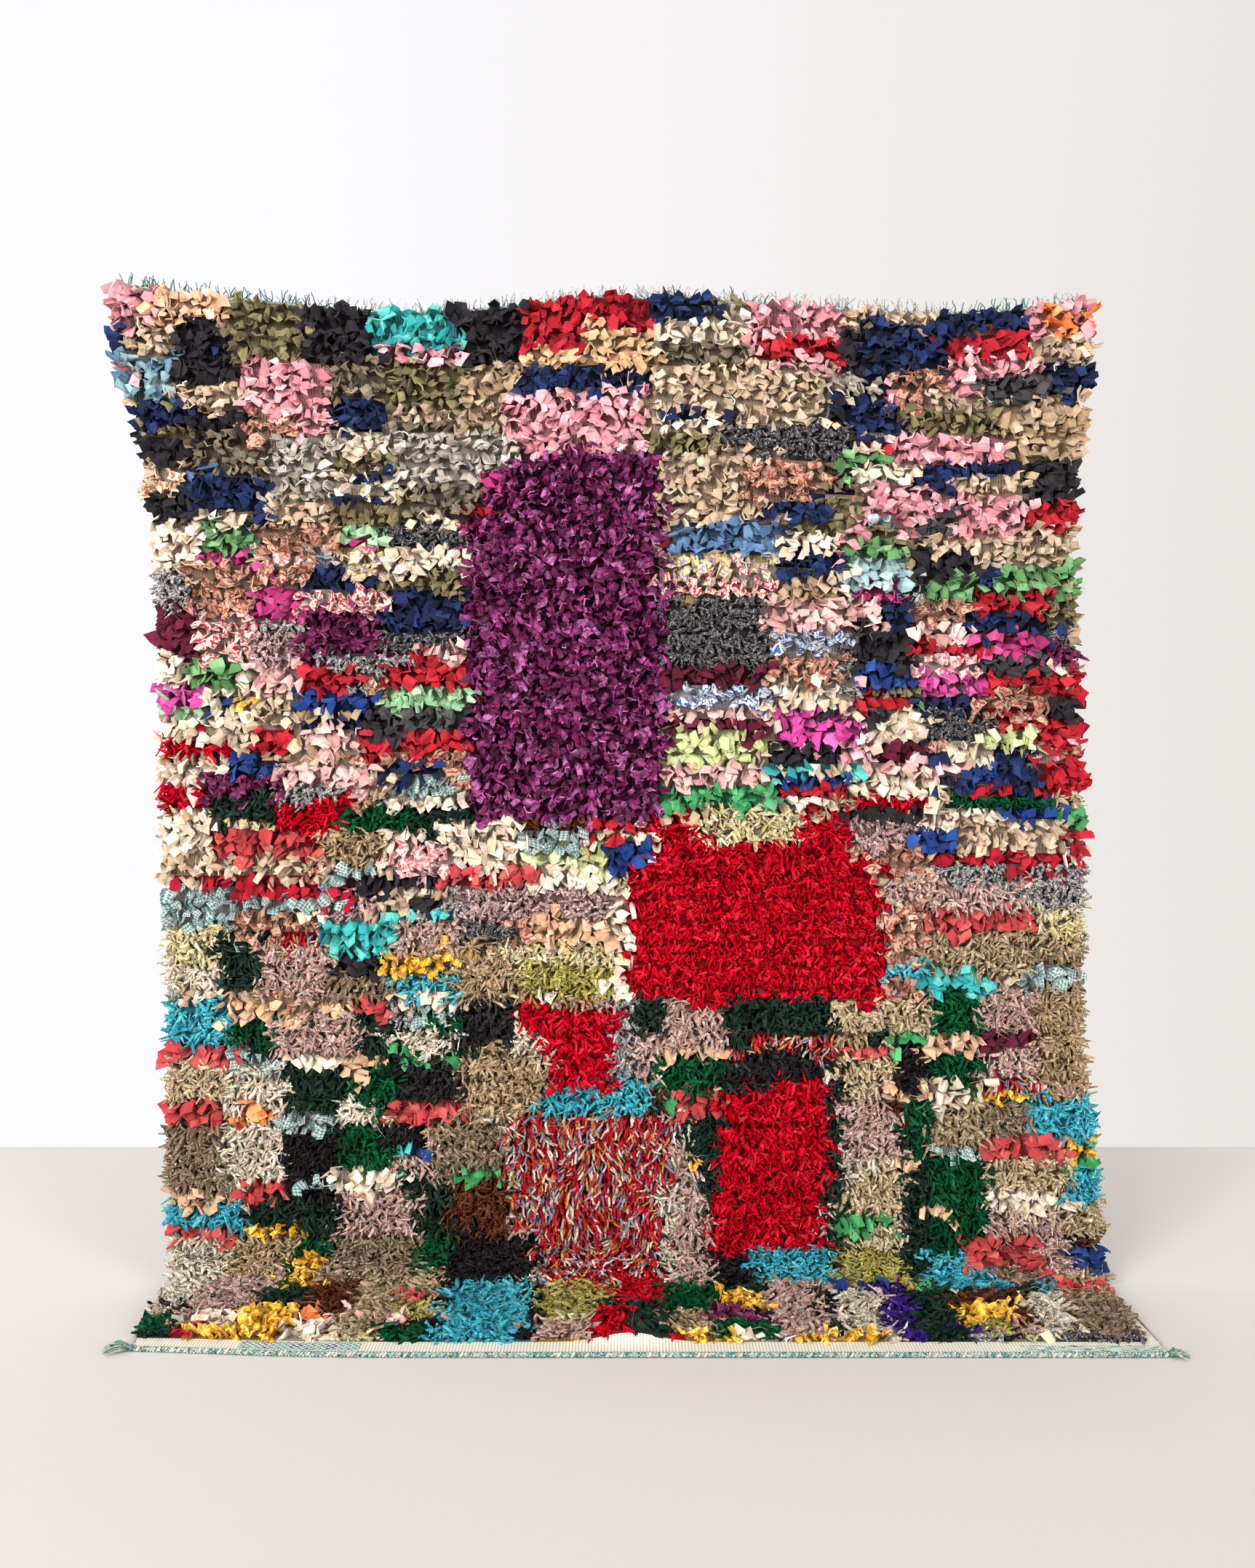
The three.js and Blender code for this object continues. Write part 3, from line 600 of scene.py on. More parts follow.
# %% Families of tufts
# Metres and degrees. A knot shows "ends" cut ends, each "length" long, "half" wide to either side
# and "thick". "start" and "end" are the angles between the tuft and the way out of the pile, which
# vary by "spread". "turn" is how far it heads to either side, "roll" how far its strip turns about
# its own length, "wave" how far it sways. "root", "tip" and "wide" are shares of its width, and
# "uneven" makes wide ones rarer. "folded" is how far a strip is folded, "skew" how askew its end
# is cut, and "crumple" how far its points stray.
STRIP = dict(rings=3, sides=6, ends=1, start=0, root=0.7, uneven=1.0, skew=0.5, wave=0.0)
LOCK = dict(rings=3, sides=3, roll=60, root=1.0, skew=0.0)
FAMILIES = {
    "rag": STRIP | dict(length=0.028, half=0.0112, thick=0.0008, end=74, spread=25, turn=50, roll=30,
                        root=0.45, tip=(0.45, 1.05), wide=(0.5, 1.3), folded=(6, 55), crumple=0.0019),
    "chip": STRIP | dict(length=0.024, half=0.0084, thick=0.0010, end=70, spread=26, turn=60, roll=40,
                         tip=(0.8, 1.05), wide=(0.62, 1.3), folded=(10, 65), crumple=0.0010, skew=0.6),
    "jersey": STRIP | dict(rings=4, ends=2, length=0.030, half=0.0074, thick=0.0010, end=66, spread=34,
                           turn=80, roll=50, tip=(0.8, 1.05), wide=(0.5, 1.2), folded=(10, 60),
                           crumple=0.0007, wave=0.003),
    "wool": LOCK | dict(ends=5, length=0.026, half=0.0035, thick=0.0030, start=12, end=70, spread=30,
                        turn=72, tip=(0.3, 0.7), wide=(0.5, 2.0), uneven=2.0, crumple=0.0010,
                        wave=0.008),
    "tweed": LOCK | dict(ends=4, length=0.024, half=0.0034, thick=0.0031, start=8, end=74, spread=28,
                         turn=65, root=0.9, tip=(0.5, 0.9), wide=(0.6, 1.6), uneven=1.5,
                         crumple=0.0008, wave=0.005),
    "yarn": LOCK | dict(rings=4, ends=5, length=0.030, half=0.0021, thick=0.0020, start=5, end=92,
                        spread=22, turn=28, tip=(0.8, 1.0), wide=(0.7, 1.3), uneven=1.0,
                        crumple=0.0002, wave=0.004),
}
# Tufts that lie on the floor: degrees added to their start and end angles, and share cut off.
FLATTENED = (50, 22)
SHORTENED = 0.20
print("cut ends for each knot:", {name: shape["ends"] for name, shape in FAMILIES.items()})

# %% [markdown]
# The middle line leaves the ground at the start angle and bends evenly to the end angle, so its
# points are the running sum of short steps. It falls down the rug, but combed a little to one side
# and the other from place to place, as hands and feet leave a pile.

# %% How a tuft bends
OUTWARD = np.array([0.0, 0.0, 1.0])
# Waves of the combing: how far in radians, and how fast across and down.
COMBING = [(0.35, 47, 21), (0.30, 19, -63)]


def bent_path(shape, down, reach):
    """Length of each tuft, and the angle, rise and fall at each of its rings."""
    count, rings = len(down), shape["rings"]
    t = np.linspace(0, 1, rings)
    lying = smooth(HANGING, HANGING + BEND, down)
    length = shape["length"] * reach * rng.uniform(0.75, 1.15, count) * (1 - SHORTENED * lying)
    start = np.radians(rng.normal(shape["start"], shape["spread"], count) + FLATTENED[0] * lying)
    end = np.radians(rng.normal(shape["end"], shape["spread"], count) + FLATTENED[1] * lying)
    middle = np.clip(t - 0.5 / (rings - 1), 0, 1)
    bent = start[:, None] + (end - start)[:, None] * middle
    step = (length / (rings - 1))[:, None] * (t > 0)
    rise = np.cumsum(np.cos(bent) * step, axis=1)
    fall = np.cumsum(np.sin(bent) * step, axis=1)
    return length, start[:, None] + (end - start)[:, None] * t, rise, fall


def facings(shape, angle, across, down, heading):
    """Unit vectors at each ring: the way that the tuft falls, beside it and along it, and the
    strip's own width and face, turned by a roll that grows along the tuft."""
    count, rings = angle.shape
    turned = np.radians(rng.normal(0, shape["turn"], count))
    aim = (heading + waves(COMBING, across, down) + turned)[:, None]
    ahead = np.stack([np.sin(aim), np.cos(aim), 0 * aim], -1)
    beside = np.stack([np.cos(aim), -np.sin(aim), 0 * aim], -1)
    sine, cosine = np.sin(angle)[..., None], np.cos(angle)[..., None]
    normal = cosine * ahead - sine * OUTWARD
    tangent = sine * ahead + cosine * OUTWARD
    first, grown = np.radians(rng.normal(0, shape["roll"], (2, count)))[..., None]
    roll = (first + grown * np.linspace(0, 1, rings))[..., None]
    wide = np.cos(roll) * beside + np.sin(roll) * normal
    face = np.cos(roll) * normal - np.sin(roll) * beside
    return ahead, beside, tangent, wide, face


print("a rag is", FAMILIES["rag"]["length"] * 1000, "mm long before it bends")

# %% [markdown]
# Widths differ from tuft to tuft, and each narrows at its root, where the knot grips it, and again
# at its tip. A rag is folded into a roof along its middle and crumpled, and its end is cut askew.

# %% Width and cross-section
def half_widths(shape, count):
    """Half the width at each ring, and how much of it the taper to the tip leaves."""
    t = np.linspace(0, 1, shape["rings"])
    grow = shape["root"] + (1 - shape["root"]) * smooth(0, 0.55, t)
    tip = rng.uniform(*shape["tip"], count)[:, None]
    taper = 1 - (1 - tip) * smooth(0.5, 1, t)
    least, most = shape["wide"]
    factor = least + (most - least) * rng.uniform(0, 1, count) ** shape["uneven"]
    return shape["half"] * (grow * taper) * factor[:, None], taper


def section(shape, count):
    """Cross-section loops in half widths, (count, sides): a flat strip folded into a roof along
    its middle, or a rounded triangle. The sign of the fold is random."""
    if shape["sides"] == 3:
        return (np.tile([0.87, 0, -0.87], (count, 1)), np.zeros((count, 3)),
                np.tile([0.5, -1, 0.5], (count, 1)))
    place_on = np.array([-1.0, 0, 1, 1, 0, -1])
    angle = np.radians(rng.uniform(*shape["folded"], count))[:, None]
    sign = rng.choice([-1.0, 1.0], count)[:, None]
    off_middle = rng.uniform(-0.3, 0.3, count)[:, None] * (np.abs(place_on) < 1)
    roof = sign * (1 - np.abs(place_on)) * np.sin(angle)
    face = np.array([1.0, 1, 1, -1, -1, -1])
    return place_on * np.cos(angle) + off_middle, roof, np.tile(face, (count, 1))


def crumpled(shape, count):
    """How far each point strays from the face. Both faces of a flat strip stray together."""
    crumple = rng.normal(0, shape["crumple"], (count, shape["rings"], shape["sides"]))
    if shape["sides"] == 6:
        crumple[..., 3:] = crumple[..., 2::-1]
    return crumple


def tuft_points(shape, across, down, reach, heading):
    """Points of all tufts, (count, rings, sides, 3), in the rug's coordinates, with the length
    and half widths of each. "heading" is the way it falls, 0 for down the rug."""
    count, t = len(across), np.linspace(0, 1, shape["rings"])
    length, angle, rise, fall = bent_path(shape, down, reach)
    ahead, beside, tangent, wide, face = facings(shape, angle, across, down, heading)
    root = np.stack([across, down, np.full(count, GROUND / 3)], -1)
    line = root[:, None] + fall[..., None] * ahead + rise[..., None] * OUTWARD
    sway = shape["wave"] * np.sin(t * rng.uniform(3, 8, count)[:, None]
                                  + rng.uniform(0, 6.3, count)[:, None]) * t
    line = line + sway[..., None] * beside
    half, taper = half_widths(shape, count)
    x, y, side = (loop[:, None] for loop in section(shape, count))
    lift = half[..., None] * y + side * (shape["thick"] * taper)[..., None]
    lift = lift + crumpled(shape, count)
    cut = rng.uniform(-1, 1, count)[:, None, None] * shape["skew"] * (t == 1)[None, :, None]
    sideways = half[..., None] * x
    points = line[:, :, None] + wide[:, :, None] * sideways[..., None]
    points = points + face[:, :, None] * lift[..., None]
    return points + tangent[:, :, None] * (cut * sideways)[..., None], length, half


widest = 2 * FAMILIES["wool"]["half"] * FAMILIES["wool"]["wide"][1]
print("a wool lock is at most", round(widest * 1000, 1), "mm wide")

# %% [markdown]
# The mesh of a whole family is built in one go: each tuft has the same faces, only with higher
# vertex numbers. A map called OFBake lays every tuft out in a small cell of its own, and a map
# called cloth gives real distances on the strip, for its weave or print.

# %% Faces and maps of one tuft
# A cell of the OFBake map, in shares of it: where the walls start and how much they fill, how high
# the two end faces sit, and half their size.
WALLS_FROM = (0.05, 0.13)
WALLS_FILL = (0.90, 0.74)
CAPS_AT = (0.06, 0.94)
CAP_HALF = (0.44, 0.035)


def loops_of_one(rings, sides):
    """Corner lists of one tuft: quads round each stretch, then the root's and the tip's face."""
    ring, side = (x.ravel() for x in np.mgrid[:rings - 1, :sides])
    lay_v = np.stack([ring, ring, ring + 1, ring + 1], -1).ravel()
    lay_u = np.stack([side, side + 1, side + 1, side], -1).ravel()
    corners = lay_v * sides + lay_u % sides
    last = (rings - 1) * sides
    caps = np.array([*range(sides - 1, -1, -1), *range(last, last + sides)])
    sizes = [4] * len(ring) + [sides, sides]
    return corners, caps, lay_u / sides, lay_v / (rings - 1), sizes


def cell_layout(count, sides, lay_u, lay_v):
    """The OFBake map: cell by cell in a square grid, walls in the middle, end faces in strips."""
    grid = math.ceil(math.sqrt(count))
    turn = np.arange(sides) / sides * 2 * math.pi
    ring_u, ring_v = 0.5 + CAP_HALF[0] * np.cos(turn), CAP_HALF[1] * np.sin(turn)
    u = np.concatenate([WALLS_FROM[0] + WALLS_FILL[0] * lay_u, ring_u[::-1], ring_u])
    v = np.concatenate([WALLS_FROM[1] + WALLS_FILL[1] * lay_v,
                        CAPS_AT[0] + ring_v[::-1], CAPS_AT[1] + ring_v])
    column, row = np.arange(count) % grid, np.arange(count) // grid
    return np.stack([(column[:, None] + u) / grid, (row[:, None] + v) / grid], -1)


print("faces of one rag tuft:", len(loops_of_one(3, 6)[-1]))

# %% Joined tuft meshes
def mesh_from(name, places, corners, sizes):
    """A mesh made in one go from its points, the corners of its faces and how many each has."""
    mesh = bpy.data.meshes.new(name)
    mesh.vertices.add(len(places))
    mesh.vertices.foreach_set("co", places.ravel())
    mesh.loops.add(len(corners))
    mesh.loops.foreach_set("vertex_index", corners)
    mesh.polygons.add(len(sizes))
    mesh.polygons.foreach_set("loop_start", np.concatenate([[0], np.cumsum(sizes)[:-1]]))
    return mesh


def give_map(mesh, name, places):
    """Stores a map of the mesh: two numbers for every corner."""
    mesh.uv_layers.new(name=name).data.foreach_set("uv", places.ravel())


def give(mesh, name, kind, values, times, domain="POINT"):
    """Stores an attribute of the mesh, each value repeated for so many points or corners."""
    if kind == "FLOAT_COLOR":
        values = np.concatenate([values, np.ones((len(values), 1))], 1)
    field = {"FLOAT": "value", "FLOAT_COLOR": "color", "FLOAT_VECTOR": "vector"}[kind]
    data = mesh.attributes.new(name, kind, domain).data
    data.foreach_set(field, np.repeat(values, times, axis=0).ravel())


def way_out(across, down):
    """The unit vector out of the pile at each place of the hung rug."""
    away = hung(across, down, GROUND) - hung(across, down, 0)
    return away / np.linalg.norm(away, axis=-1, keepdims=True)


def mesh_of_tufts(name, points, length, half, colours):
    """One mesh of all tufts, with dye, mark, print and place along the tuft as attributes."""
    count, rings, sides = points.shape[:3]
    corners, caps, lay_u, lay_v, sizes = loops_of_one(rings, sides)
    out = np.maximum(points[..., 2], -GROUND / 2)
    world = hung(points[..., 0], points[..., 1], out).reshape(-1, 3)
    first = np.arange(count)[:, None] * rings * sides
    loops = (first + np.concatenate([corners, caps])).ravel()
    mesh = mesh_from(name, world, loops, np.tile(sizes, count))
    cloth_u = np.concatenate([lay_u, np.zeros(2 * sides)])[None] * half.max(1)[:, None] * 4
    cloth_v = np.concatenate([lay_v, np.zeros(sides), np.ones(sides)])[None] * length[:, None]
    give_map(mesh, "cloth", np.stack([cloth_u, cloth_v], -1) + rng.uniform(0, 1, (count, 1, 2)))
    give_map(mesh, "OFBake", cell_layout(count, sides, lay_u, lay_v))
    for key in ("dye", "mark"):
        give(mesh, key, "FLOAT_COLOR", colours[key], rings * sides)
    give(mesh, "along", "FLOAT", np.tile(np.linspace(0, 1, rings), count), sides)
    give(mesh, "print", "FLOAT", colours["print"], rings * sides)
    root = points[:, 0].mean(1)
    give(mesh, "outward", "FLOAT_VECTOR", way_out(root[:, 0], root[:, 1]), rings * sides)
    mesh.update()
    return mesh


print("half way down, the pile stands out along", way_out(np.zeros(1), np.full(1, 0.7)).round(2)[0])

# %% [markdown]
# Every tuft takes one dye of its yarn, a little lighter or darker than its neighbours. A finished
# mesh then becomes a piece: its faces are turned outward, it gets its finish and it rides on the rug.

# %% Dyes and pieces
def colours_for(yarn_numbers):
    """A dye of its yarn for each tuft, a little lighter or darker, with the print's colour."""
    dyes = np.zeros((len(yarn_numbers), 3))
    for number in np.unique(yarn_numbers):
        here = yarn_numbers == number
        choices = yarns[yarn_names[number]]["dyes"]
        dyes[here] = choices[rng.integers(0, len(choices), here.sum())]
    shade = rng.normal(1, 0.07, (len(dyes), 1)) * rng.normal(1, 0.02, dyes.shape)
    marks, prints = of_yarns("mark", yarn_numbers), of_yarns("print", yarn_numbers)
    return {"dye": np.clip(dyes * shade, 0.001, 0.95), "mark": marks, "print": prints}


def signed_volume(mesh):
    """Six times the enclosed volume: the sum of triple products over the mesh's triangles."""
    mesh.calc_loop_triangles()
    corner = np.empty(len(mesh.loop_triangles) * 3, int)
    mesh.loop_triangles.foreach_get("vertices", corner)
    place = np.empty(len(mesh.vertices) * 3)
    mesh.vertices.foreach_get("co", place)
    a, b, c = place.reshape(-1, 3)[corner.reshape(-1, 3)].transpose(1, 0, 2)
    return float((a * np.cross(b, c)).sum())


def add_piece(name, mesh, finish, rounded=True):
    """Links a mesh as a piece that rides on the rug, and says how many triangles it has."""
    if signed_volume(mesh) < 0:
        mesh.flip_normals()
    mesh.polygons.foreach_set("use_smooth", np.full(len(mesh.polygons), rounded))
    mesh.materials.append(finish)
    piece = bpy.data.objects.new(name, mesh)
    bpy.context.collection.objects.link(piece)
    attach(piece, "root")
    print(f"{name}: {len(mesh.loop_triangles)} triangles")
    return piece


def joined(name, pieces, *replaced):
    """Joins pieces into one, which keeps their finishes and stands for the given solids."""
    with bpy.context.temp_override(active_object=pieces[0], selected_editable_objects=pieces):
        bpy.ops.object.join()
    pieces[0].name = name
    pieces[0].data.name = name
    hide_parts(*replaced)
    return pieces[0]

# %% [markdown]
# Shader maths reads best as arithmetic. A small class wraps a node's output, so that a + b or
# 1 - mask adds the Math node by itself.

# %% Shader arithmetic
class Wire:
    """One output socket, in sums with numbers and with other outputs."""

    def __init__(self, board, socket):
        self.board = board
        self.socket = socket

    def maths(self, operation, *others):
        inputs = dict(enumerate([self, *others]))
        return self.board.node("ShaderNodeMath", {"operation": operation}, inputs)

    def __add__(self, other):
        return self.maths("ADD", other)

    def __mul__(self, other):
        return self.maths("MULTIPLY", other)

    def __sub__(self, other):
        return self.maths("SUBTRACT", other)

    def __truediv__(self, other):
        return self.maths("DIVIDE", other)

    def __rsub__(self, first):
        return self.board.node("ShaderNodeMath", {"operation": "SUBTRACT"}, {0: first, 1: self})

    def fraction(self):
        return self.maths("FRACT")

    def sine(self):
        return self.maths("SINE")

    def size(self):
        return self.maths("ABSOLUTE")

    def above(self, limit):
        return self.maths("GREATER_THAN", limit)

    def inside(self, low, high):
        return self.above(low) * (1 - self.above(high))

# %% [markdown]
# The board is the node tree itself. It places nodes, feeds their inputs with numbers or with
# wires, and has a method for each thing that the finishes below use often.

# %% A board of nodes
class Board:
    """The node tree of one material, or of the world, and the shader that it ends in."""

    def __init__(self, owner, shader="Principled BSDF"):
        self.owner = owner
        self.owner.use_nodes = True
        self.tree = owner.node_tree
        self.shader = self.tree.nodes[shader]

    def node(self, kind, settings=None, inputs=None, output=0):
        made = self.tree.nodes.new(kind)
        for key, value in (settings or {}).items():
            setattr(made, key, value)
        for key, value in (inputs or {}).items():
            self.feed(made.inputs[key], value)
        return Wire(self, made.outputs[output])

    def feed(self, socket, value):
        if isinstance(value, Wire):
            self.tree.links.new(value.socket, socket)
        else:
            socket.default_value = value

    def cloth(self):
        """Real distances on the piece, from its map."""
        return self.node("ShaderNodeUVMap", {"uv_map": "cloth"})

    def place(self):
        """Where a point is in the object's own coordinates."""
        return self.node("ShaderNodeTexCoord", output="Object")

    def read(self, attribute, output="Color"):
        return self.node("ShaderNodeAttribute", {"attribute_name": attribute}, output=output)

    def parted(self, place):
        """The first two parts of a place, x and y."""
        first = self.node("ShaderNodeSeparateXYZ", {}, {0: place})
        return first, Wire(self, first.socket.node.outputs[1])

    def scaled(self, place, *factors):
        """A place multiplied, axis by axis."""
        return self.node("ShaderNodeVectorMath", {"operation": "MULTIPLY"}, {0: place, 1: factors})

    def mix(self, factor, first, second, blend="MIX"):
        settings = {"data_type": "RGBA", "blend_type": blend}
        return self.node("ShaderNodeMix", settings, {0: factor, 6: first, 7: second}, output=2)

    def shaded(self, colour, amount):
        """A colour multiplied by the same amount in all its channels."""
        grey = self.node("ShaderNodeCombineColor", {}, {0: amount, 1: amount, 2: amount})
        return self.mix(1.0, colour, grey, "MULTIPLY")

    def between(self, value, low, high, new_low=0.0, new_high=1.0):
        inputs = {0: value, 1: low, 2: high, 3: new_low, 4: new_high}
        return self.node("ShaderNodeMapRange", {"interpolation_type": "SMOOTHSTEP"}, inputs)

    def noise(self, place, scale, detail=2.0, rough=0.5):
        inputs = {"Vector": place, "Scale": scale, "Detail": detail, "Roughness": rough}
        return self.node("ShaderNodeTexNoise", {}, inputs)

    def settle(self, **inputs):
        """Feeds inputs of the shader, whose names have _ for a space, and gives the owner back."""
        for name, value in inputs.items():
            self.feed(self.shader.inputs[name.replace("_", " ")], value)
        return self.owner

    def finish(self, colour, roughness, height, depth, sheen=0.0, gloss=0.1, soft=0.0):
        """A cloth finish with a bump of the given depth in metres. A soft finish leans the normal
        towards the way out of the pile, as fluffy wool scatters light."""
        inputs = {"Height": height, "Distance": depth, "Strength": 1.0}
        if soft:
            face = self.node("ShaderNodeNewGeometry", output="Normal")
            ends = {0: soft, 4: face, 5: self.read("outward", "Vector")}
            leaned = self.node("ShaderNodeMix", {"data_type": "VECTOR"}, ends, output=1)
            unit = {"operation": "NORMALIZE"}
            inputs["Normal"] = self.node("ShaderNodeVectorMath", unit, {0: leaned})
        bump = self.node("ShaderNodeBump", {}, inputs)
        return self.settle(Base_Color=colour, Roughness=roughness, Normal=bump, Sheen_Weight=sheen,
                           Sheen_Roughness=0.5, Specular_IOR_Level=gloss)

# %% [markdown]
# Cotton rags are plain weave with raw edges: a fine grid of threads, faded in places, and printed
# in some scraps with small flowers or checks. Wool has long fine streaks and no print. Jersey is
# smooth and catches the light on its rolled edges.

# %% Cloth finishes
# Radians for each metre: checks of a print, threads of plain weave, ribs of jersey.
CHECKS = 1500
COTTON_THREADS = 6300
JERSEY_RIBS = 5200


def rooted(board, until, dark, light=1.0):
    """Painted shade of a tuft: its colour darkened towards the root, where the tufts shade each other,
    and full from a share of its length on; a light above 1 paints a faint highlight.
    """
    return board.between(board.read("along", "Fac"), 0.0, until, dark, light)


def rag_finish(name):
    board = Board(bpy.data.materials.new(name))
    cloth, place, kind = board.cloth(), board.place(), board.read("print", "Fac")
    across, along = board.parted(cloth)
    blots = board.noise(cloth, 190.0, 1.0).above(0.53)
    checks = ((across * CHECKS).sine().above(0.0) + (along * CHECKS).sine().above(0.0)) * 0.5
    printed = kind.inside(0.5, 1.5) * blots + kind.inside(1.5, 2.5) * checks
    colour = board.mix(printed, board.read("dye"), board.read("mark"))
    faded = board.between(board.noise(place, 55.0, 3.0), 0.3, 0.7, 0.86, 1.14)
    threads = (across * COTTON_THREADS).sine() + (along * COTTON_THREADS).sine()
    creases = board.noise(place, 260.0, 2.0)
    roughness = board.between(creases, 0.3, 0.7, 0.78, 0.95)
    # Random fading of the cloth, times painted shade at the root.
    colour = board.shaded(colour, faded * rooted(board, 0.5, 0.8))
    return board.finish(colour, roughness, threads * 0.12 + creases, 0.0014, sheen=0.04)


def wool_finish(name, soft, fleck=False):
    board = Board(bpy.data.materials.new(name))
    place = board.place()
    fibres = board.noise(board.scaled(board.cloth(), 1.0, 0.12, 0), 2600.0, 3.0, 0.7)
    tone = board.between(fibres, 0.25, 0.75, 0.66, 1.42)
    patch = board.between(board.noise(place, 40.0, 2.0), 0.3, 0.7, 0.9, 1.12)
    fluff = board.noise(place, 330.0, 3.0, 0.7)
    patch = patch * board.between(fluff, 0.32, 0.68, 0.62, 1.36)
    # Fibre streaks and random patches, times painted shade at the root.
    colour = board.shaded(board.read("dye"), tone * patch * rooted(board, 0.6, 0.4))
    if fleck:
        spots = board.noise(place, 420.0, 1.0).above(0.56)
        colour = board.mix(spots, colour, board.read("mark"))
    return board.finish(colour, 0.95, fibres + fluff, 0.0022, gloss=0.04, soft=soft)


def jersey_finish(name):
    board = Board(bpy.data.materials.new(name))
    across, _ = board.parted(board.cloth())
    worn = board.between(board.noise(board.place(), 150.0, 2.0), 0.35, 0.65, 0.55, 1.6)
    # Random patches, times painted shade at the root and a faint painted highlight towards the tip.
    colour = board.shaded(board.read("dye"), worn * rooted(board, 0.7, 0.3, 1.05))
    return board.finish(colour, 0.46, (across * JERSEY_RIBS).sine(), 0.0003, gloss=0.35)


finishes = {
    "rag": rag_finish("cotton rag"), "chip": rag_finish("cut cotton"),
    "jersey": jersey_finish("cotton jersey"), "wool": wool_finish("hand-spun wool", 0.6),
    "tweed": wool_finish("flecked wool", 0.5, fleck=True), "yarn": wool_finish("plied yarn", 0.3),
    "thread": wool_finish("cotton thread", 0.0), "cord": wool_finish("mottled cord", 0.0, fleck=True),
}
print(len(finishes), "finishes for the pile")

# %% [markdown]
# The pile is tied family by family. A big family is parted into three or four pieces, left to
# right, so that each piece keeps a size that every program opens with ease.

# %% The pile
# Family: name of the piece, where it is parted across, and the reach of its rows in turn.
PILE = {
    "rag": ("rag_tufts", [-0.28, 0.24], [1.12, 1.0, 0.85]),
    "chip": ("cut_cotton_tufts", [], [1.1, 1.0, 0.9]),
    "jersey": ("jersey_tufts", [], [1.0]),
    "wool": ("wool_tufts", [-0.30, 0.10, 0.40], [1.08, 0.95]),
    "tweed": ("flecked_wool_tufts", [], [1.08, 0.95]),
    "yarn": ("speckled_yarn_tufts", [], [1.0]),
}
# How far apart the cut ends of one knot leave the ground, and how far rows of wool close up in
# pairs.
ENDS_APART = KNOT * 0.35
ROW_PAIRING = 0.0012
# Of the top rows, this share of the tufts stands up over the edge, and is shorter.
UPWARD_ROWS = 2
UPWARD_SHARE = 0.35
UPWARD_REACH = 0.6
# Down the rug, where the red wool is trimmed so short that its rows show, and the share left.
TRIMMED = (0.86, 1.05)
TRIMMED_REACH = 0.70


def tuft_piece(name, family, across, down, yarn_numbers, reach, heading):
    """One piece of tufts of one family."""
    shape = FAMILIES[family]
    points, length, half = tuft_points(shape, across, down, reach, heading)
    mesh = mesh_of_tufts(name, points, length, half, colours_for(yarn_numbers))
    return add_piece(name, mesh, finishes[family], shape["sides"] == 3)


def tie_knots(name, family, chosen, row_reach):
    """The piece that joins all tufts of the chosen knots, some cut ends for each."""
    ends = FAMILIES[family]["ends"]
    pick = np.repeat(np.flatnonzero(chosen), ends)
    row, yarn = knot_row[pick], knot_yarn[pick]
    across = knot_across[pick] + rng.normal(0, 1, len(pick)) * (ENDS_APART * (ends > 1))
    down = knot_down[pick] + rng.normal(0, 0.0015, len(pick))
    if family in ("wool", "tweed"):
        down = down + ROW_PAIRING * (1 - 2 * (row % 2))
    reach = np.array(row_reach)[row % len(row_reach)]
    upward = (row < UPWARD_ROWS) & (rng.uniform(0, 1, len(row)) < UPWARD_SHARE)
    reach = np.where(upward, reach * UPWARD_REACH, reach)
    is_red = yarn == yarn_names.index("redwool")
    trimmed = is_red & (down > TRIMMED[0]) & (down < TRIMMED[1])
    reach = np.where(trimmed, reach * TRIMMED_REACH, reach)
    return tuft_piece(name, family, across, down, yarn, reach, np.where(upward, math.pi, 0.0))


for family, (name, parted, row_reach) in PILE.items():
    part_of = np.searchsorted(parted, knot_across, "right")
    for part in range(len(parted) + 1):
        chosen = (knot_family == family) & (part_of == part)
        tie_knots(f"{name}_{part + 1}" if parted else name, family, chosen, row_reach)

# %% [markdown]
# Under the pile is the ground: a closed thin sheet of cotton weave. Each of its faces is about one
# knot, so that the back shows the chart in small coloured dashes between ribs of weft, as the back
# of a real rug does. Its last stretch has no pile and is plain woven.

# %% Ground weave
WEAVE_COLUMNS = 124
KILIM_ROWS = 4
# The OFBake map: where the front is laid, how far the back is laid beside it, and where the rim
# runs above both. A stretch of the rug as long and wide as this fills the map.
LAID_SIZE = 1.76
LAID_LEFT = 0.76
LAID_SCALE = (0.56, 0.98)
LAID_FROM = 0.005
BACK_BESIDE = 0.5
RIM_FROM = 0.99
RIM_HIGH = 0.008
RIM_WIDE = 0.0006


def weave_grid():
    """Across and down of the weave's grid: a line of it for each row of knots, then the kilim."""
    downs = np.concatenate([np.linspace(0, PILE_END, KNOT_ROWS + 1),
                            np.linspace(PILE_END, LENGTH, KILIM_ROWS + 1)[1:]])
    t = np.linspace(0, 1, WEAVE_COLUMNS + 1)
    left, right = -half_width(-1, downs), half_width(1, downs)
    return left[:, None] + (right - left)[:, None] * t, np.repeat(downs[:, None], len(t), 1)


def weave_faces(tall, wide):
    """Corners of the front's faces, the back's faces and the rim of quads that closes them."""
    at = np.arange(tall * wide).reshape(tall, wide)
    cells = np.stack([at[:-1, :-1], at[1:, :-1], at[1:, 1:], at[:-1, 1:]], -1).reshape(-1, 4)
    under = cells[:, ::-1] + tall * wide
    ring = np.concatenate([at[0], at[1:, -1], at[-1, -2::-1], at[-2:0:-1, 0]])
    after = np.roll(ring, -1)
    rim = np.stack([ring, after, after + tall * wide, ring + tall * wide], -1)
    return cells, under, rim


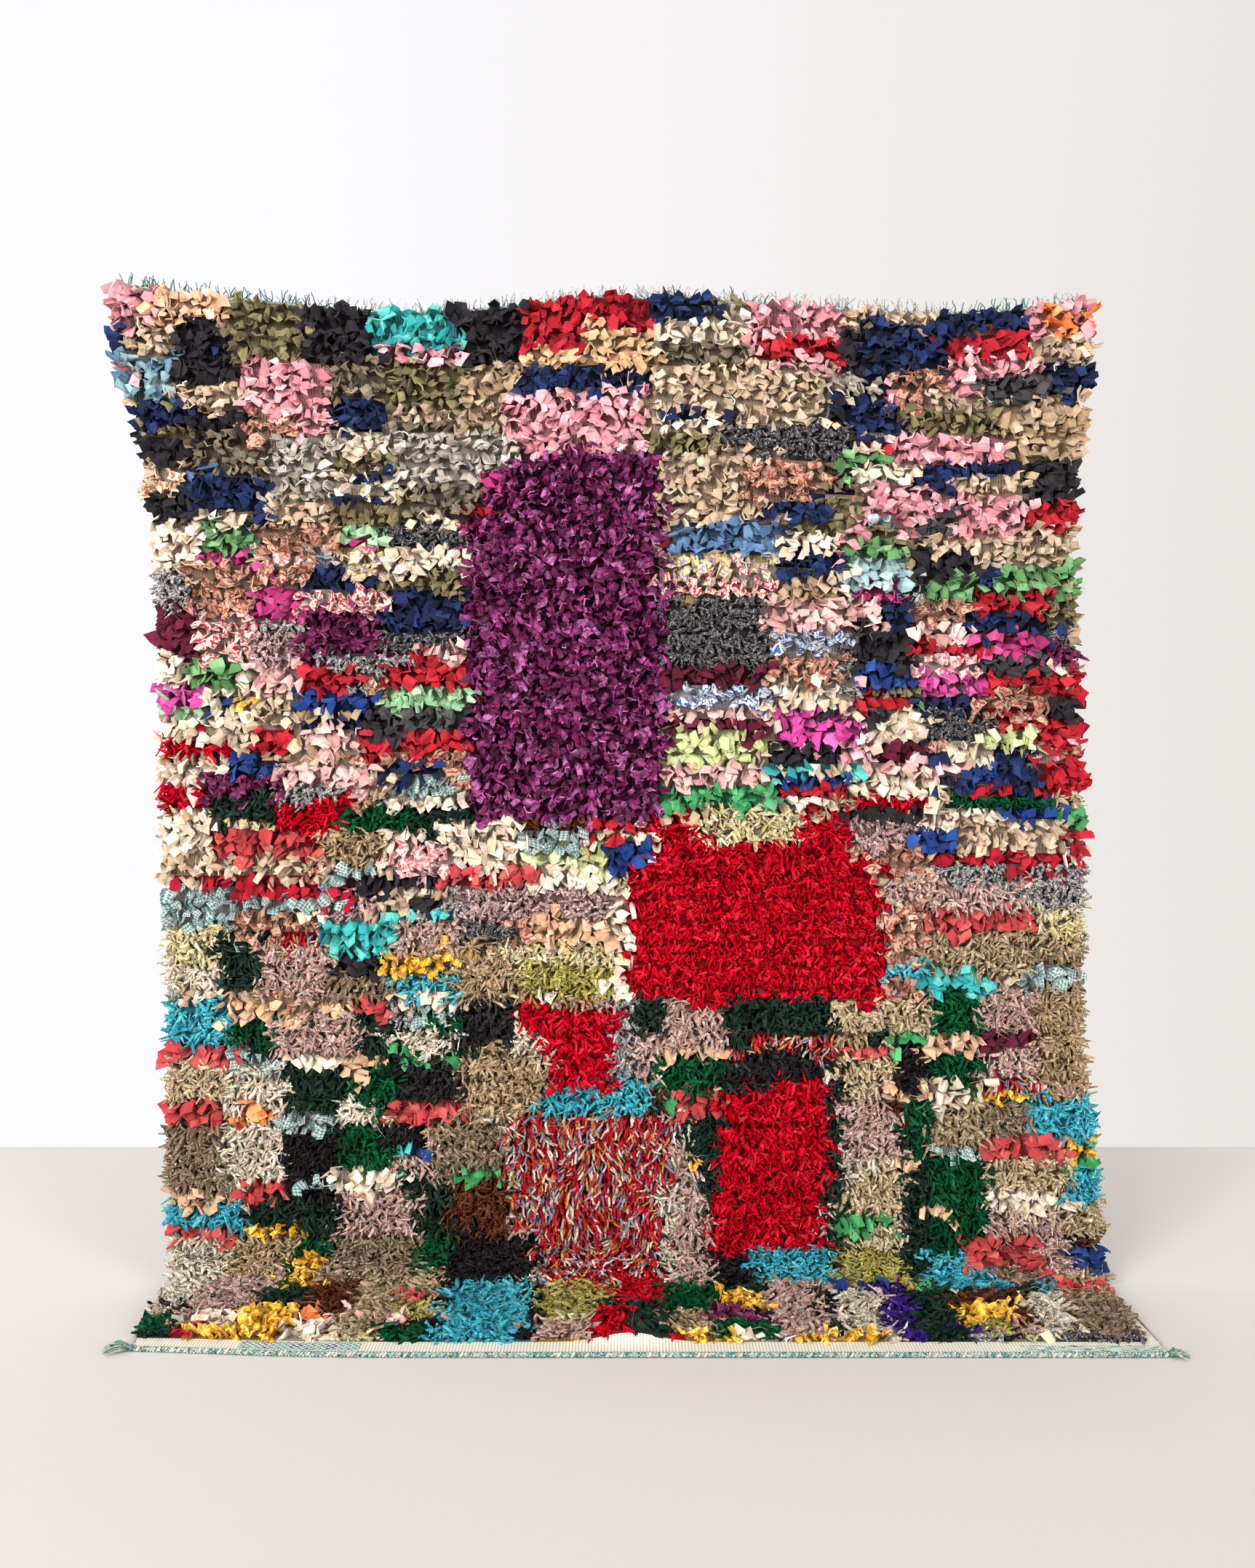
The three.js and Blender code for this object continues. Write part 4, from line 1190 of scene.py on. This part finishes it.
def weave_layout(flat, front, rim):
    """The OFBake map from the flat places of all corners, of which so many are the front's."""
    lay = (flat + [LAID_LEFT, 0]) / LAID_SIZE * LAID_SCALE + LAID_FROM
    lay[front:2 * front, 0] += BACK_BESIDE
    step = np.repeat(np.arange(rim), 4) / rim
    lay[2 * front:, 0] = step * LAID_SCALE[1] + np.tile([0, RIM_WIDE, RIM_WIDE, 0], rim)
    lay[2 * front:, 1] = RIM_FROM + np.tile([0, 0, RIM_HIGH, RIM_HIGH], rim)
    return lay


def ground_mesh():
    """Front and back are the same grid at plus and minus half the ground's thickness. A face
    takes the yarn of its knot."""
    across, down = weave_grid()
    cells, under, rim = weave_faces(*across.shape)
    faces = np.concatenate([cells, under, rim])
    places = [hung(across, down, side * GROUND / 2).reshape(-1, 3) for side in (1, -1)]
    mesh = mesh_from("ground_weave", np.concatenate(places), faces.ravel(), np.full(len(faces), 4))
    flat = np.stack([across, down], -1)
    corners = np.concatenate([flat.reshape(-1, 2)] * 2)[faces.ravel()]
    give_map(mesh, "cloth", corners)
    give_map(mesh, "OFBake", weave_layout(corners, cells.size, len(rim)))
    middle = ((flat[:-1, :-1] + flat[1:, 1:]) / 2).reshape(-1, 2)
    chosen = yarn_at(*on_chart(*middle.T))
    dye = np.array([yarns[name]["dyes"][0] for name in yarn_names])[chosen]
    dye = np.concatenate([dye, dye, np.full((len(rim), 3), 0.5)])
    give(mesh, "dye", "FLOAT_COLOR", dye, 4, "CORNER")
    is_back = np.arange(len(faces)) >= len(cells)
    give(mesh, "back", "FLOAT", is_back.astype(float), 4, "CORNER")
    mesh.update()
    return mesh


print(KNOT_ROWS, "rows of knots and", WEAVE_COLUMNS, "columns")

# %% [markdown]
# The ground's finish has three looks on one sheet: in front, the knots' colours darkened as painted
# shade under the pile and between the tufts; behind, bare weft between the backs of the knots, which
# are painted darker between their lobes as shade; and the plain woven end with its few coloured
# stitches, painted darker between its warp ribs as shade in the grooves.

# %% Ground finish
# Across, in metres, of the stitched stretches of the plain woven end.
CHEVRONS = (-0.500, -0.340)
DASHES = (0.520, 0.705)
CHEVRON_TALL = 0.010
CHEVRON_WIDE = 0.0092
CHEVRON_LEAN = 0.016
DASHES_HIGH = 0.022
# Distances from one lobe of a knot, one rib of weft and one warp to the next.
LOBE = 0.0045
WEFT = 0.0022
WARP = 0.0042
WEFT_DARK = (0.30, 0.245, 0.185, 1)
WEFT_PALE = (0.66, 0.59, 0.48, 1)
WEFT_FIBRE = (0.20, 0.17, 0.14, 1)
# The knots' colours are multiplied by this in front, under the pile and between the tufts: painted shade.
PAINTED_SHADE_UNDER_PILE = (0.38, 0.36, 0.36, 1)
# Darker tone of the kilim between its warp ribs: painted shade in the grooves.
KILIM_GROOVE_SHADE = (0.58, 0.54, 0.42, 1)
KILIM_WARP = (0.84, 0.82, 0.68, 1)
KILIM_FIBRE = (0.78, 0.80, 0.74, 1)
STITCH_TEAL = (0.10, 0.36, 0.36, 1)
STITCH_NAVY = (0.04, 0.06, 0.22, 1)


def kilim_stitches(board, cloth, across, down):
    """Mask of the coloured stitches in the plain woven end: small chevrons on the left, where the
    rows lean one way and then the other, and short teal dashes on the right."""
    lean = ((down / CHEVRON_TALL).fraction() - 0.5).size()
    chevrons = ((across + lean * CHEVRON_LEAN) / CHEVRON_WIDE).fraction().above(0.45)
    chevrons = chevrons * across.inside(*CHEVRONS) * down.inside(PILE_END + 0.004, LENGTH - 0.003)
    ragged = board.noise(board.scaled(cloth, 60, 500, 0), 1.0, 2.0).above(0.52)
    dashes = ragged * across.inside(*DASHES) * down.inside(LENGTH - DASHES_HIGH, LENGTH)
    return chevrons + dashes


def knot_backs(board, cloth, across, down):
    """The knots as the back shows them: how full each place is of a knot, and where it is tied.
    A row swells in its middle, every knot makes two lobes, and the edges are ragged."""
    wander = (board.noise(cloth, 16.0, 2.0) - 0.5) * 0.007
    in_row = ((down + wander) / (PILE_END / KNOT_ROWS)).fraction()
    hump = 1 - (in_row - 0.5).size() * 2
    lobe = (across * math.pi / LOBE).sine().size()
    ragged = board.noise(cloth, 230.0, 2.0)
    return hump + lobe * 0.30 + ragged * 0.5, lobe


def plain_woven(board, cloth, across, down, fibre, warps):
    """Colour of the kilim band: pale warp ribs, painted darker between them as shade in the grooves, and
    its stitches.
    """
    plain = board.mix(warps, KILIM_GROOVE_SHADE, KILIM_WARP)
    plain = board.mix(board.between(fibre, 0.3, 0.7, 0.0, 0.35), plain, KILIM_FIBRE)
    stitch = board.mix(board.noise(cloth, 70.0, 1.0).above(0.55), STITCH_TEAL, STITCH_NAVY)
    return board.mix(kilim_stitches(board, cloth, across, down), plain, stitch)


def ground_finish():
    board = Board(bpy.data.materials.new("woven ground"))
    cloth, dye = board.cloth(), board.read("dye")
    across, down = board.parted(cloth)
    bare_side = across.above(half_width(1, LENGTH) - INSET[1]) * down.above(HANGING + BEND)
    is_pile = (1 - down.above(PILE_END)) * (1 - bare_side)
    full, lobe = knot_backs(board, cloth, across, down)
    is_knot = full.above(0.80) * is_pile
    fibre = board.noise(cloth, 900.0, 3.0)
    picks = board.noise(board.scaled(cloth, 4, 66, 0), 1.0, 1.0)
    weft = board.mix(board.between(picks, 0.40, 0.60), WEFT_DARK, WEFT_PALE)
    weft = board.mix(board.between(fibre, 0.3, 0.7, 0.0, 0.5), weft, WEFT_FIBRE)
    worn = board.between(board.noise(cloth, 120.0, 2.0), 0.3, 0.7, 0.75, 1.15)
    # The backs of the knots: painted shade darkens them between the two lobes of each knot, and random
    # wear varies them.
    knots = board.shaded(dye, board.between(lobe, 0.0, 0.6, 0.45, 1.0) * worn)
    # In front, under the pile: the knots' colours darkened as painted shade.
    painted_shade_under_pile = board.mix(1.0, dye, PAINTED_SHADE_UNDER_PILE, "MULTIPLY")
    warps = board.between((across * 2 * math.pi / WARP).sine(), -1.0, 0.2, 0.0, 1.0)
    front = board.mix(is_pile, plain_woven(board, cloth, across, down, fibre, warps), painted_shade_under_pile)
    colour = board.mix(board.read("back", "Fac"), front, board.mix(is_knot, weft, knots))
    ribs = (down * 2 * math.pi / WEFT).sine()
    height = ribs * 0.2 + is_knot * (full + lobe) * 0.8 + fibre * 0.5 + warps * 0.5
    return board.finish(colour, 0.92, height, 0.0018, sheen=0.05)


ground = add_piece("ground_weave", ground_mesh(), ground_finish(), rounded=False)
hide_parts("rug")

# %% [markdown]
# Selvedges, warp threads, cords and loose ends are all round strands: tubes round a middle line.
# They are joined like the tufts, so a long cord is cut into short stretches that share their ends.

# %% Round strands
def round_strands(line, half, sides):
    """Tubes round middle lines (count, rings, 3): each ring is a circle across the line."""
    tangent = np.gradient(line, axis=1)
    tangent /= np.linalg.norm(tangent, axis=-1, keepdims=True)
    first = np.cross(tangent, [0.21, 0.35, 0.91])
    first /= np.linalg.norm(first, axis=-1, keepdims=True)
    second = np.cross(tangent, first)
    turn = (np.arange(sides) / sides * 2 * math.pi)[:, None]
    ring = first[:, :, None] * np.cos(turn) + second[:, :, None] * np.sin(turn)
    return line[:, :, None] + ring * half[:, :, None, None]


def unprinted(dyes):
    """Colours of strands that have no print."""
    return {"dye": dyes, "mark": dyes, "print": np.zeros(len(dyes))}


def in_turn(codes, count):
    """The given colours in turn."""
    return unprinted(tones(codes)[np.arange(count) % len(codes)])


def at_random(codes, count):
    """So many of the given colours, in random order."""
    return tones(codes)[rng.integers(0, len(codes), count)]


def strand_mesh(name, line, half, sides, colours, taper=(1.0, 1.0)):
    """One mesh of round strands of the given half thickness. The taper is the share of it that
    shows at the root and at the tip."""
    half = np.broadcast_to(half * np.linspace(*taper, line.shape[1]), line.shape[:2])
    steps = np.linalg.norm(np.diff(line, axis=1), axis=-1)
    return mesh_of_tufts(name, round_strands(line, half, sides), steps.sum(1), half * 2, colours)


def segments_of(path, rings):
    """Cuts one long path (points, 3) into pieces of so many points that share their ends."""
    pieces = (len(path) - 1) // (rings - 1)
    at = np.arange(pieces)[:, None] * (rings - 1) + np.arange(rings)
    return path[at]


print("a path of 61 points makes", len(segments_of(np.zeros((61, 3)), 7)), "stretches of 7 points")

# %% [markdown]
# The outermost knots on each side splay out past the ground weave, so their tufts are made apart,
# round a selvedge of wrapped yarn. Each side is one piece: its tufts of every family, joined.

# %% Side tufts
SIDE_STEP = 0.0055
# Half thickness of the selvedge, in how many stretches it is made, and its wrapping yarns.
SELVEDGE = 0.0028
SEGMENTS = 24
SELVEDGE_YARNS = ["b0a596", "968b7c", "c4baa8"]
# How far in from its edge the pile is looked up on the chart.
LOOK_IN = 0.012


def side_piece(side, name, *replaced):
    """Tufts fanned out past one side, with the selvedge that they sit on."""
    down = np.arange(0.006, PILE_END - 0.004, SIDE_STEP)
    down = down + rng.normal(0, 0.0015, len(down))
    edge = pile_half(side, down)
    numbers = yarn_at(*on_chart(side * (edge - LOOK_IN), down))
    families = of_yarns("family", numbers)
    made = []
    for family in np.unique(families):
        pick = np.repeat(np.flatnonzero(families == family), max(1, FAMILIES[family]["ends"] - 1))
        lying = smooth(HANGING, HANGING + BEND, down[pick])
        across = side * (edge[pick] + rng.uniform(-0.001, 0.003, len(pick)) - 0.006 * lying)
        heading = side * np.radians(rng.uniform(35, 100, len(pick)))
        reach = rng.uniform(0.75, 1.1, len(pick)) * (1 - 0.35 * lying)
        made.append(tuft_piece(family, family, across, down[pick], numbers[pick], reach, heading))
    along = np.linspace(0, PILE_END, SEGMENTS * 8 + 1)
    path = np.stack([side * (half_width(side, along) + SELVEDGE), along, 0 * along], -1)
    line = segments_of(path, 9)
    mesh = strand_mesh("selvedge", line, SELVEDGE, 6, in_turn(SELVEDGE_YARNS, len(line)))
    made.append(add_piece("selvedge", mesh, finishes["thread"]))
    return joined(name, made, *replaced)


side_pieces = [side_piece(-1, "side_tufts_left", "rim_left", "rim_left_floor"),
               side_piece(1, "side_tufts_right", "rim_right", "rim_right_floor")]

# %% [markdown]
# Above the top edge stand the cut ends of the warp, teal and white cotton, on a thin twined edge.
# They lean and curl each its own way, as short ends of hard-spun thread do.

# %% Warp ends
THREADS = 400
THREAD_HALF = 0.0010
THREAD_FOOT = 0.0035
# The twined edge that they stand on: the height of its strip, half the thickness of a ply, how
# far its middle line winds down and out, and the length of a turn.
FRINGE_STRIP = 0.005
EDGE_HALF = 0.0014
EDGE_WIND = (-0.0012, 0.0012)
EDGE_TURN = 0.010
# Columns: left, right, colours of the warp there. Everywhere else it is plain.
WARP_COLOURS = [
    (-0.57, -0.43, ["1f6f80", "1a3f78", "b9d0cc", "2a8890"]),
    (0.07, 0.21, ["f0ebe2", "27365f", "d8d2c8"]),
    (0.48, 0.62, ["3f8f78", "2f7f8c", "8fbfae"]),
    (-0.76, -0.57, ["4f8f80", "a8c4ba", "2a5f6c", "5a9a86"]),
]
PLAIN_WARP = ["ddd6ca", "9fc4c0", "c9c2b6", "efe9df"]


def thread_lines(across, length):
    """Short threads that stand up from the given places and lean more the further they go."""
    t = np.linspace(0, 1, 5)
    lean, forward = rng.normal(0, 0.0045, (2, len(across), 1))
    curl = rng.normal(0, 0.0014, (len(across), 1)) * np.sin(t * rng.uniform(3, 7, (len(across), 1)))
    return np.stack([across[:, None] + lean * t**1.5 + curl, -(THREAD_FOOT + length[:, None] * t),
                     forward * t**1.5 + curl], -1)


def warp_colours(across):
    """A colour for each thread, from the table above."""
    dyes = at_random(PLAIN_WARP, len(across))
    for left, right, codes in WARP_COLOURS:
        here = (across > left) & (across < right)
        dyes[here] = at_random(codes, here.sum())
    return unprinted(dyes)


def twined(across, middle, wind, pitch, rings):
    """Middle lines of two plies that wind round each other from left to right, one after the
    other and cut into short stretches. "middle" and "wind" are pairs, down and out."""
    for phase in (0, math.pi):
        turn = across * 2 * math.pi / pitch + phase
        path = np.stack([across, middle[0] + wind[0] * np.cos(turn),
                         middle[1] + wind[1] * np.sin(turn)], -1)
        yield segments_of(path, rings)


left_end, right_end = -half_width(-1, 0.0), half_width(1, 0.0)
thread_across = np.sort(rng.uniform(left_end + 0.003, right_end - 0.003, THREADS))
lines = thread_lines(thread_across, rng.uniform(0.007, 0.019, THREADS))
mesh = strand_mesh("threads", lines, THREAD_HALF, 3, warp_colours(thread_across), (1.1, 0.7))
made = [add_piece("threads", mesh, finishes["thread"])]
edge_across = np.linspace(left_end, right_end, 60 * 8 + 1)
edge_plies = twined(edge_across, (-FRINGE_STRIP / 2, 0), EDGE_WIND, EDGE_TURN, 9)
for line, code in zip(edge_plies, ("7fb6b4", "e8e2d6")):
    mesh = strand_mesh("ply", line, EDGE_HALF, 5, in_turn([code], len(line)))
    made.append(add_piece("ply", mesh, finishes["thread"]))
warp_piece = joined("warp_ends", made, "warp_fringe")

# %% [markdown]
# Along the lower end runs a cord twined from a teal and a white yarn. Each ply is a tube whose
# middle line winds round the cord as a helix, half a turn behind the other.

# %% Twined cord
CORD = 0.008
GAP = 0.0003
PLY_PITCH = 0.009
PLY_OFF = CORD * 0.24
PLY_HALF = CORD * 0.26
TURN_RINGS = 6
CORD_TONES = ["79aaa6", "a6c4bb", "d9d8ca", "6a9f9c", "c4d0c3", "8db9b2", "5f9390"]
CORD_FLECK = "e6e2d4"


def twined_cord():
    """The two plies, cut into short stretches of one turn each."""
    left, right = -half_width(-1, LENGTH), half_width(1, LENGTH)
    turns = round((right - left) / PLY_PITCH)
    across = np.linspace(left, right, turns * TURN_RINGS + 1)
    middle = (LENGTH + GAP + CORD / 2, CORD / 2 - GROUND / 2)
    made = []
    for line in twined(across, middle, (PLY_OFF, PLY_OFF), PLY_PITCH, TURN_RINGS + 1):
        colours = unprinted(at_random(CORD_TONES, len(line)))
        colours["mark"] = np.tile(linear(CORD_FLECK), (len(line), 1))
        mesh = strand_mesh("ply", line, PLY_HALF, 6, colours)
        made.append(add_piece("ply", mesh, finishes["cord"]))
    return joined("twined_cord", made, "end_cord")


cord_piece = twined_cord()

# %% [markdown]
# At both lower corners the cord and the last warps are knotted, and their frayed ends lie fanned
# out on the floor.

# %% Corner tufts
CORNER_ENDS = 34
CORNER_KNOT = 0.015
CORNER_THREAD = 0.0011
CORNER_TONES = ["5fa8a0", "c9cdc0", "e2dccf", "3f8f6a", "b9b4a8", "d6d0c4", "3f9a90"]


def corner_piece(side, name, node, reach_most):
    """A small knot, as a short thick strand, and frayed ends that run out from it."""
    start = half_width(side, LENGTH)
    t = np.linspace(0, 1, 6)
    fan = np.linspace(-1.0, 1.0, CORNER_ENDS)[:, None] + rng.normal(0, 0.12, (CORNER_ENDS, 1))
    length = rng.uniform(0.55, 1.0, (CORNER_ENDS, 1)) * reach_most
    rise = rng.uniform(0.000, 0.006, (CORNER_ENDS, 1)) * np.sin(t * math.pi) + 0.001
    reach = CORNER_KNOT * 0.5 + length * t
    middle = LENGTH + CORD / 2 + fan * (0.003 + length * 0.75 * t)
    curl = rng.normal(0, 0.0015, (CORNER_ENDS, 1)) * np.sin(t * rng.uniform(4, 9, (CORNER_ENDS, 1)))
    line = np.stack([side * (start + reach * np.cos(fan * 0.7)), middle + curl, rise], -1)
    palette = in_turn(CORNER_TONES, CORNER_ENDS)
    mesh = strand_mesh("ends", line, CORNER_THREAD, 4, palette, (1.2, 0.6))
    ends = add_piece("ends", mesh, finishes["thread"])
    along = np.linspace(0, 1, 9)
    knot = np.stack([side * (start + CORNER_KNOT * along), LENGTH + CORD / 2 + 0 * along,
                     0.002 + 0 * along], -1)[None]
    swell = CORD / 2 * (0.75 + 0.4 * np.sin(along * 2 * math.pi) ** 2)
    mesh = strand_mesh("knot", knot, swell, 8, in_turn(["86bcb8"], 1))
    tied_knot = add_piece("knot", mesh, finishes["thread"])
    return joined(name, [ends, tied_knot], node)


corner_pieces = [corner_piece(-1, "corner_tuft_left", "corner_left", 0.034),
                 corner_piece(1, "corner_tuft_right", "corner_right", 0.020)]

# %% [markdown]
# Loose fibres and cut thread ends stand out of the pile here and there, among its wool, tweed and
# rag tufts. They soften its surface and its outline.

# %% Loose ends
LOOSE = 650
LOOSE_HALF = 0.0005
# How high above the ground they start, among the tufts.
LOOSE_RISE = 0.016


def loose_ends():
    """Thin threads rooted among the tufts, with long lazy curls."""
    among = np.flatnonzero(np.isin(knot_family, ["wool", "tweed", "rag"]))
    pick = rng.choice(among, LOOSE, replace=False)
    t = np.linspace(0, 1, 5)
    aim = rng.uniform(-2.2, 2.2, (LOOSE, 1))
    length = rng.uniform(0.014, 0.034, (LOOSE, 1))
    wave = rng.normal(0, 0.003, (LOOSE, 1)) * np.sin(t * rng.uniform(4, 10, (LOOSE, 1)))
    rise = LOOSE_RISE + rng.uniform(0.002, 0.010, (LOOSE, 1)) * np.sin(t * 2.4)
    line = np.stack([knot_across[pick][:, None] + length * t * np.sin(aim) + wave,
                     knot_down[pick][:, None] + 0.006 + length * t * np.cos(aim) + wave, rise], -1)
    colours = colours_for(knot_yarn[pick])
    colours["dye"] = colours["dye"] * 0.9 + 0.06
    mesh = strand_mesh("loose_ends", line, LOOSE_HALF, 3, colours, (1.2, 0.5))
    return add_piece("loose_ends", mesh, finishes["yarn"])


loose_piece = loose_ends()

# %% [markdown]
# The studio is plain: a pale floor that ends behind the rug and a pale room beyond. A large soft
# light stands in front on the left, a weaker one on the right fills the shadows, and a faint one
# behind the rug on the left lights the floor there, as a window does.

# %% Floor
FLOOR_BACK = 0.773
FLOOR_FRONT = -4.2
FLOOR_SIDE = 7
# The floor's tone in front of the rug and behind it, and between which depths it changes.
TONE_FRONT = (0.468, 0.457, 0.442)
TONE_BACK = (0.640, 0.608, 0.580)
TONE_CHANGE = (-1.9, 1.2)


def floor_finish():
    """A plain tone that changes from front to back, with a faint grain."""
    board = Board(bpy.data.materials.new("pale floor"))
    place = board.place()
    _, depth = board.parted(place)
    tint = board.mix(board.between(depth, *TONE_CHANGE), [*TONE_FRONT, 1], [*TONE_BACK, 1])
    grain = board.between(board.noise(place, 3.0, 2.0), 0.2, 0.8, 0.99, 1.0)
    return board.settle(Base_Color=board.shaded(tint, grain), Roughness=0.9, Specular_IOR_Level=0.1)


floor_mesh = bpy.data.meshes.new("floor")
floor_corners = [(-FLOOR_SIDE, FLOOR_FRONT), (FLOOR_SIDE, FLOOR_FRONT),
                 (FLOOR_SIDE, FLOOR_BACK), (-FLOOR_SIDE, FLOOR_BACK)]
floor_mesh.from_pydata([(x, y, -HANG) for x, y in floor_corners], [], [(0, 1, 2, 3)])
floor_mesh.materials.append(floor_finish())
floor = bpy.data.objects.new("floor", floor_mesh)
bpy.context.collection.objects.link(floor)
print("floor from", FLOOR_FRONT, "to", FLOOR_BACK, "m")

# %% [markdown]
# The room is a world of two pale tones, mixed by how far to the right a direction points. Area
# lights with large soft faces are aimed at the rug from the places of the table.

# %% Lights and room
# Columns: name, place, aimed at, size, power, colour.
LIGHTS = [
    ("key", (-2.6, -4.8, 0.9), (0, 0, -0.8), (2.6, 2.6), 368, (1.0, 0.985, 0.97)),
    ("fill", (4.3, -5.6, 0.7), (0.1, 0, -0.7), (4.0, 2.0), 300, (1.0, 0.98, 0.96)),
    ("window", (-3.9, 1.1, 0.7), (-0.4, -0.2, -1.1), (1.6, 1.6), 22, (0.98, 0.99, 1.0)),
]
ROOM_LEFT = (0.974, 0.965, 0.985, 1)
ROOM_RIGHT = (0.812, 0.777, 0.745, 1)
ROOM_CHANGE = (-0.25, 0.50)


def soft_light(name, place, aim, size, power, colour):
    """An area light, "size" wide and high, that faces the point it is aimed at."""
    data = bpy.data.lights.new(name, "AREA")
    data.shape = "ELLIPSE"
    data.size, data.size_y = size
    data.energy = power
    data.color = colour
    light = bpy.data.objects.new(name, data)
    light.location = place
    away = np.array(place) - np.array(aim)
    flat = math.hypot(away[0], away[1])
    light.rotation_euler = (math.atan2(flat, away[2]), 0, math.atan2(away[1], away[0]) + math.pi / 2)
    bpy.context.collection.objects.link(light)
    print(name, "light:", power, "W at", round(float(np.linalg.norm(away)), 1), "m")


for light in LIGHTS:
    soft_light(*light)


def room():
    """A pale room, lightest on the left: two tones, mixed by the direction's part along x."""
    board = Board(bpy.data.worlds.new("room"), "Background")
    rightward, _ = board.parted(board.node("ShaderNodeTexCoord", output="Generated"))
    share = board.between(rightward, *ROOM_CHANGE)
    return board.settle(Color=board.mix(share, ROOM_LEFT, ROOM_RIGHT))


bpy.context.scene.world = room()
bpy.context.scene.view_settings.view_transform = "Standard"
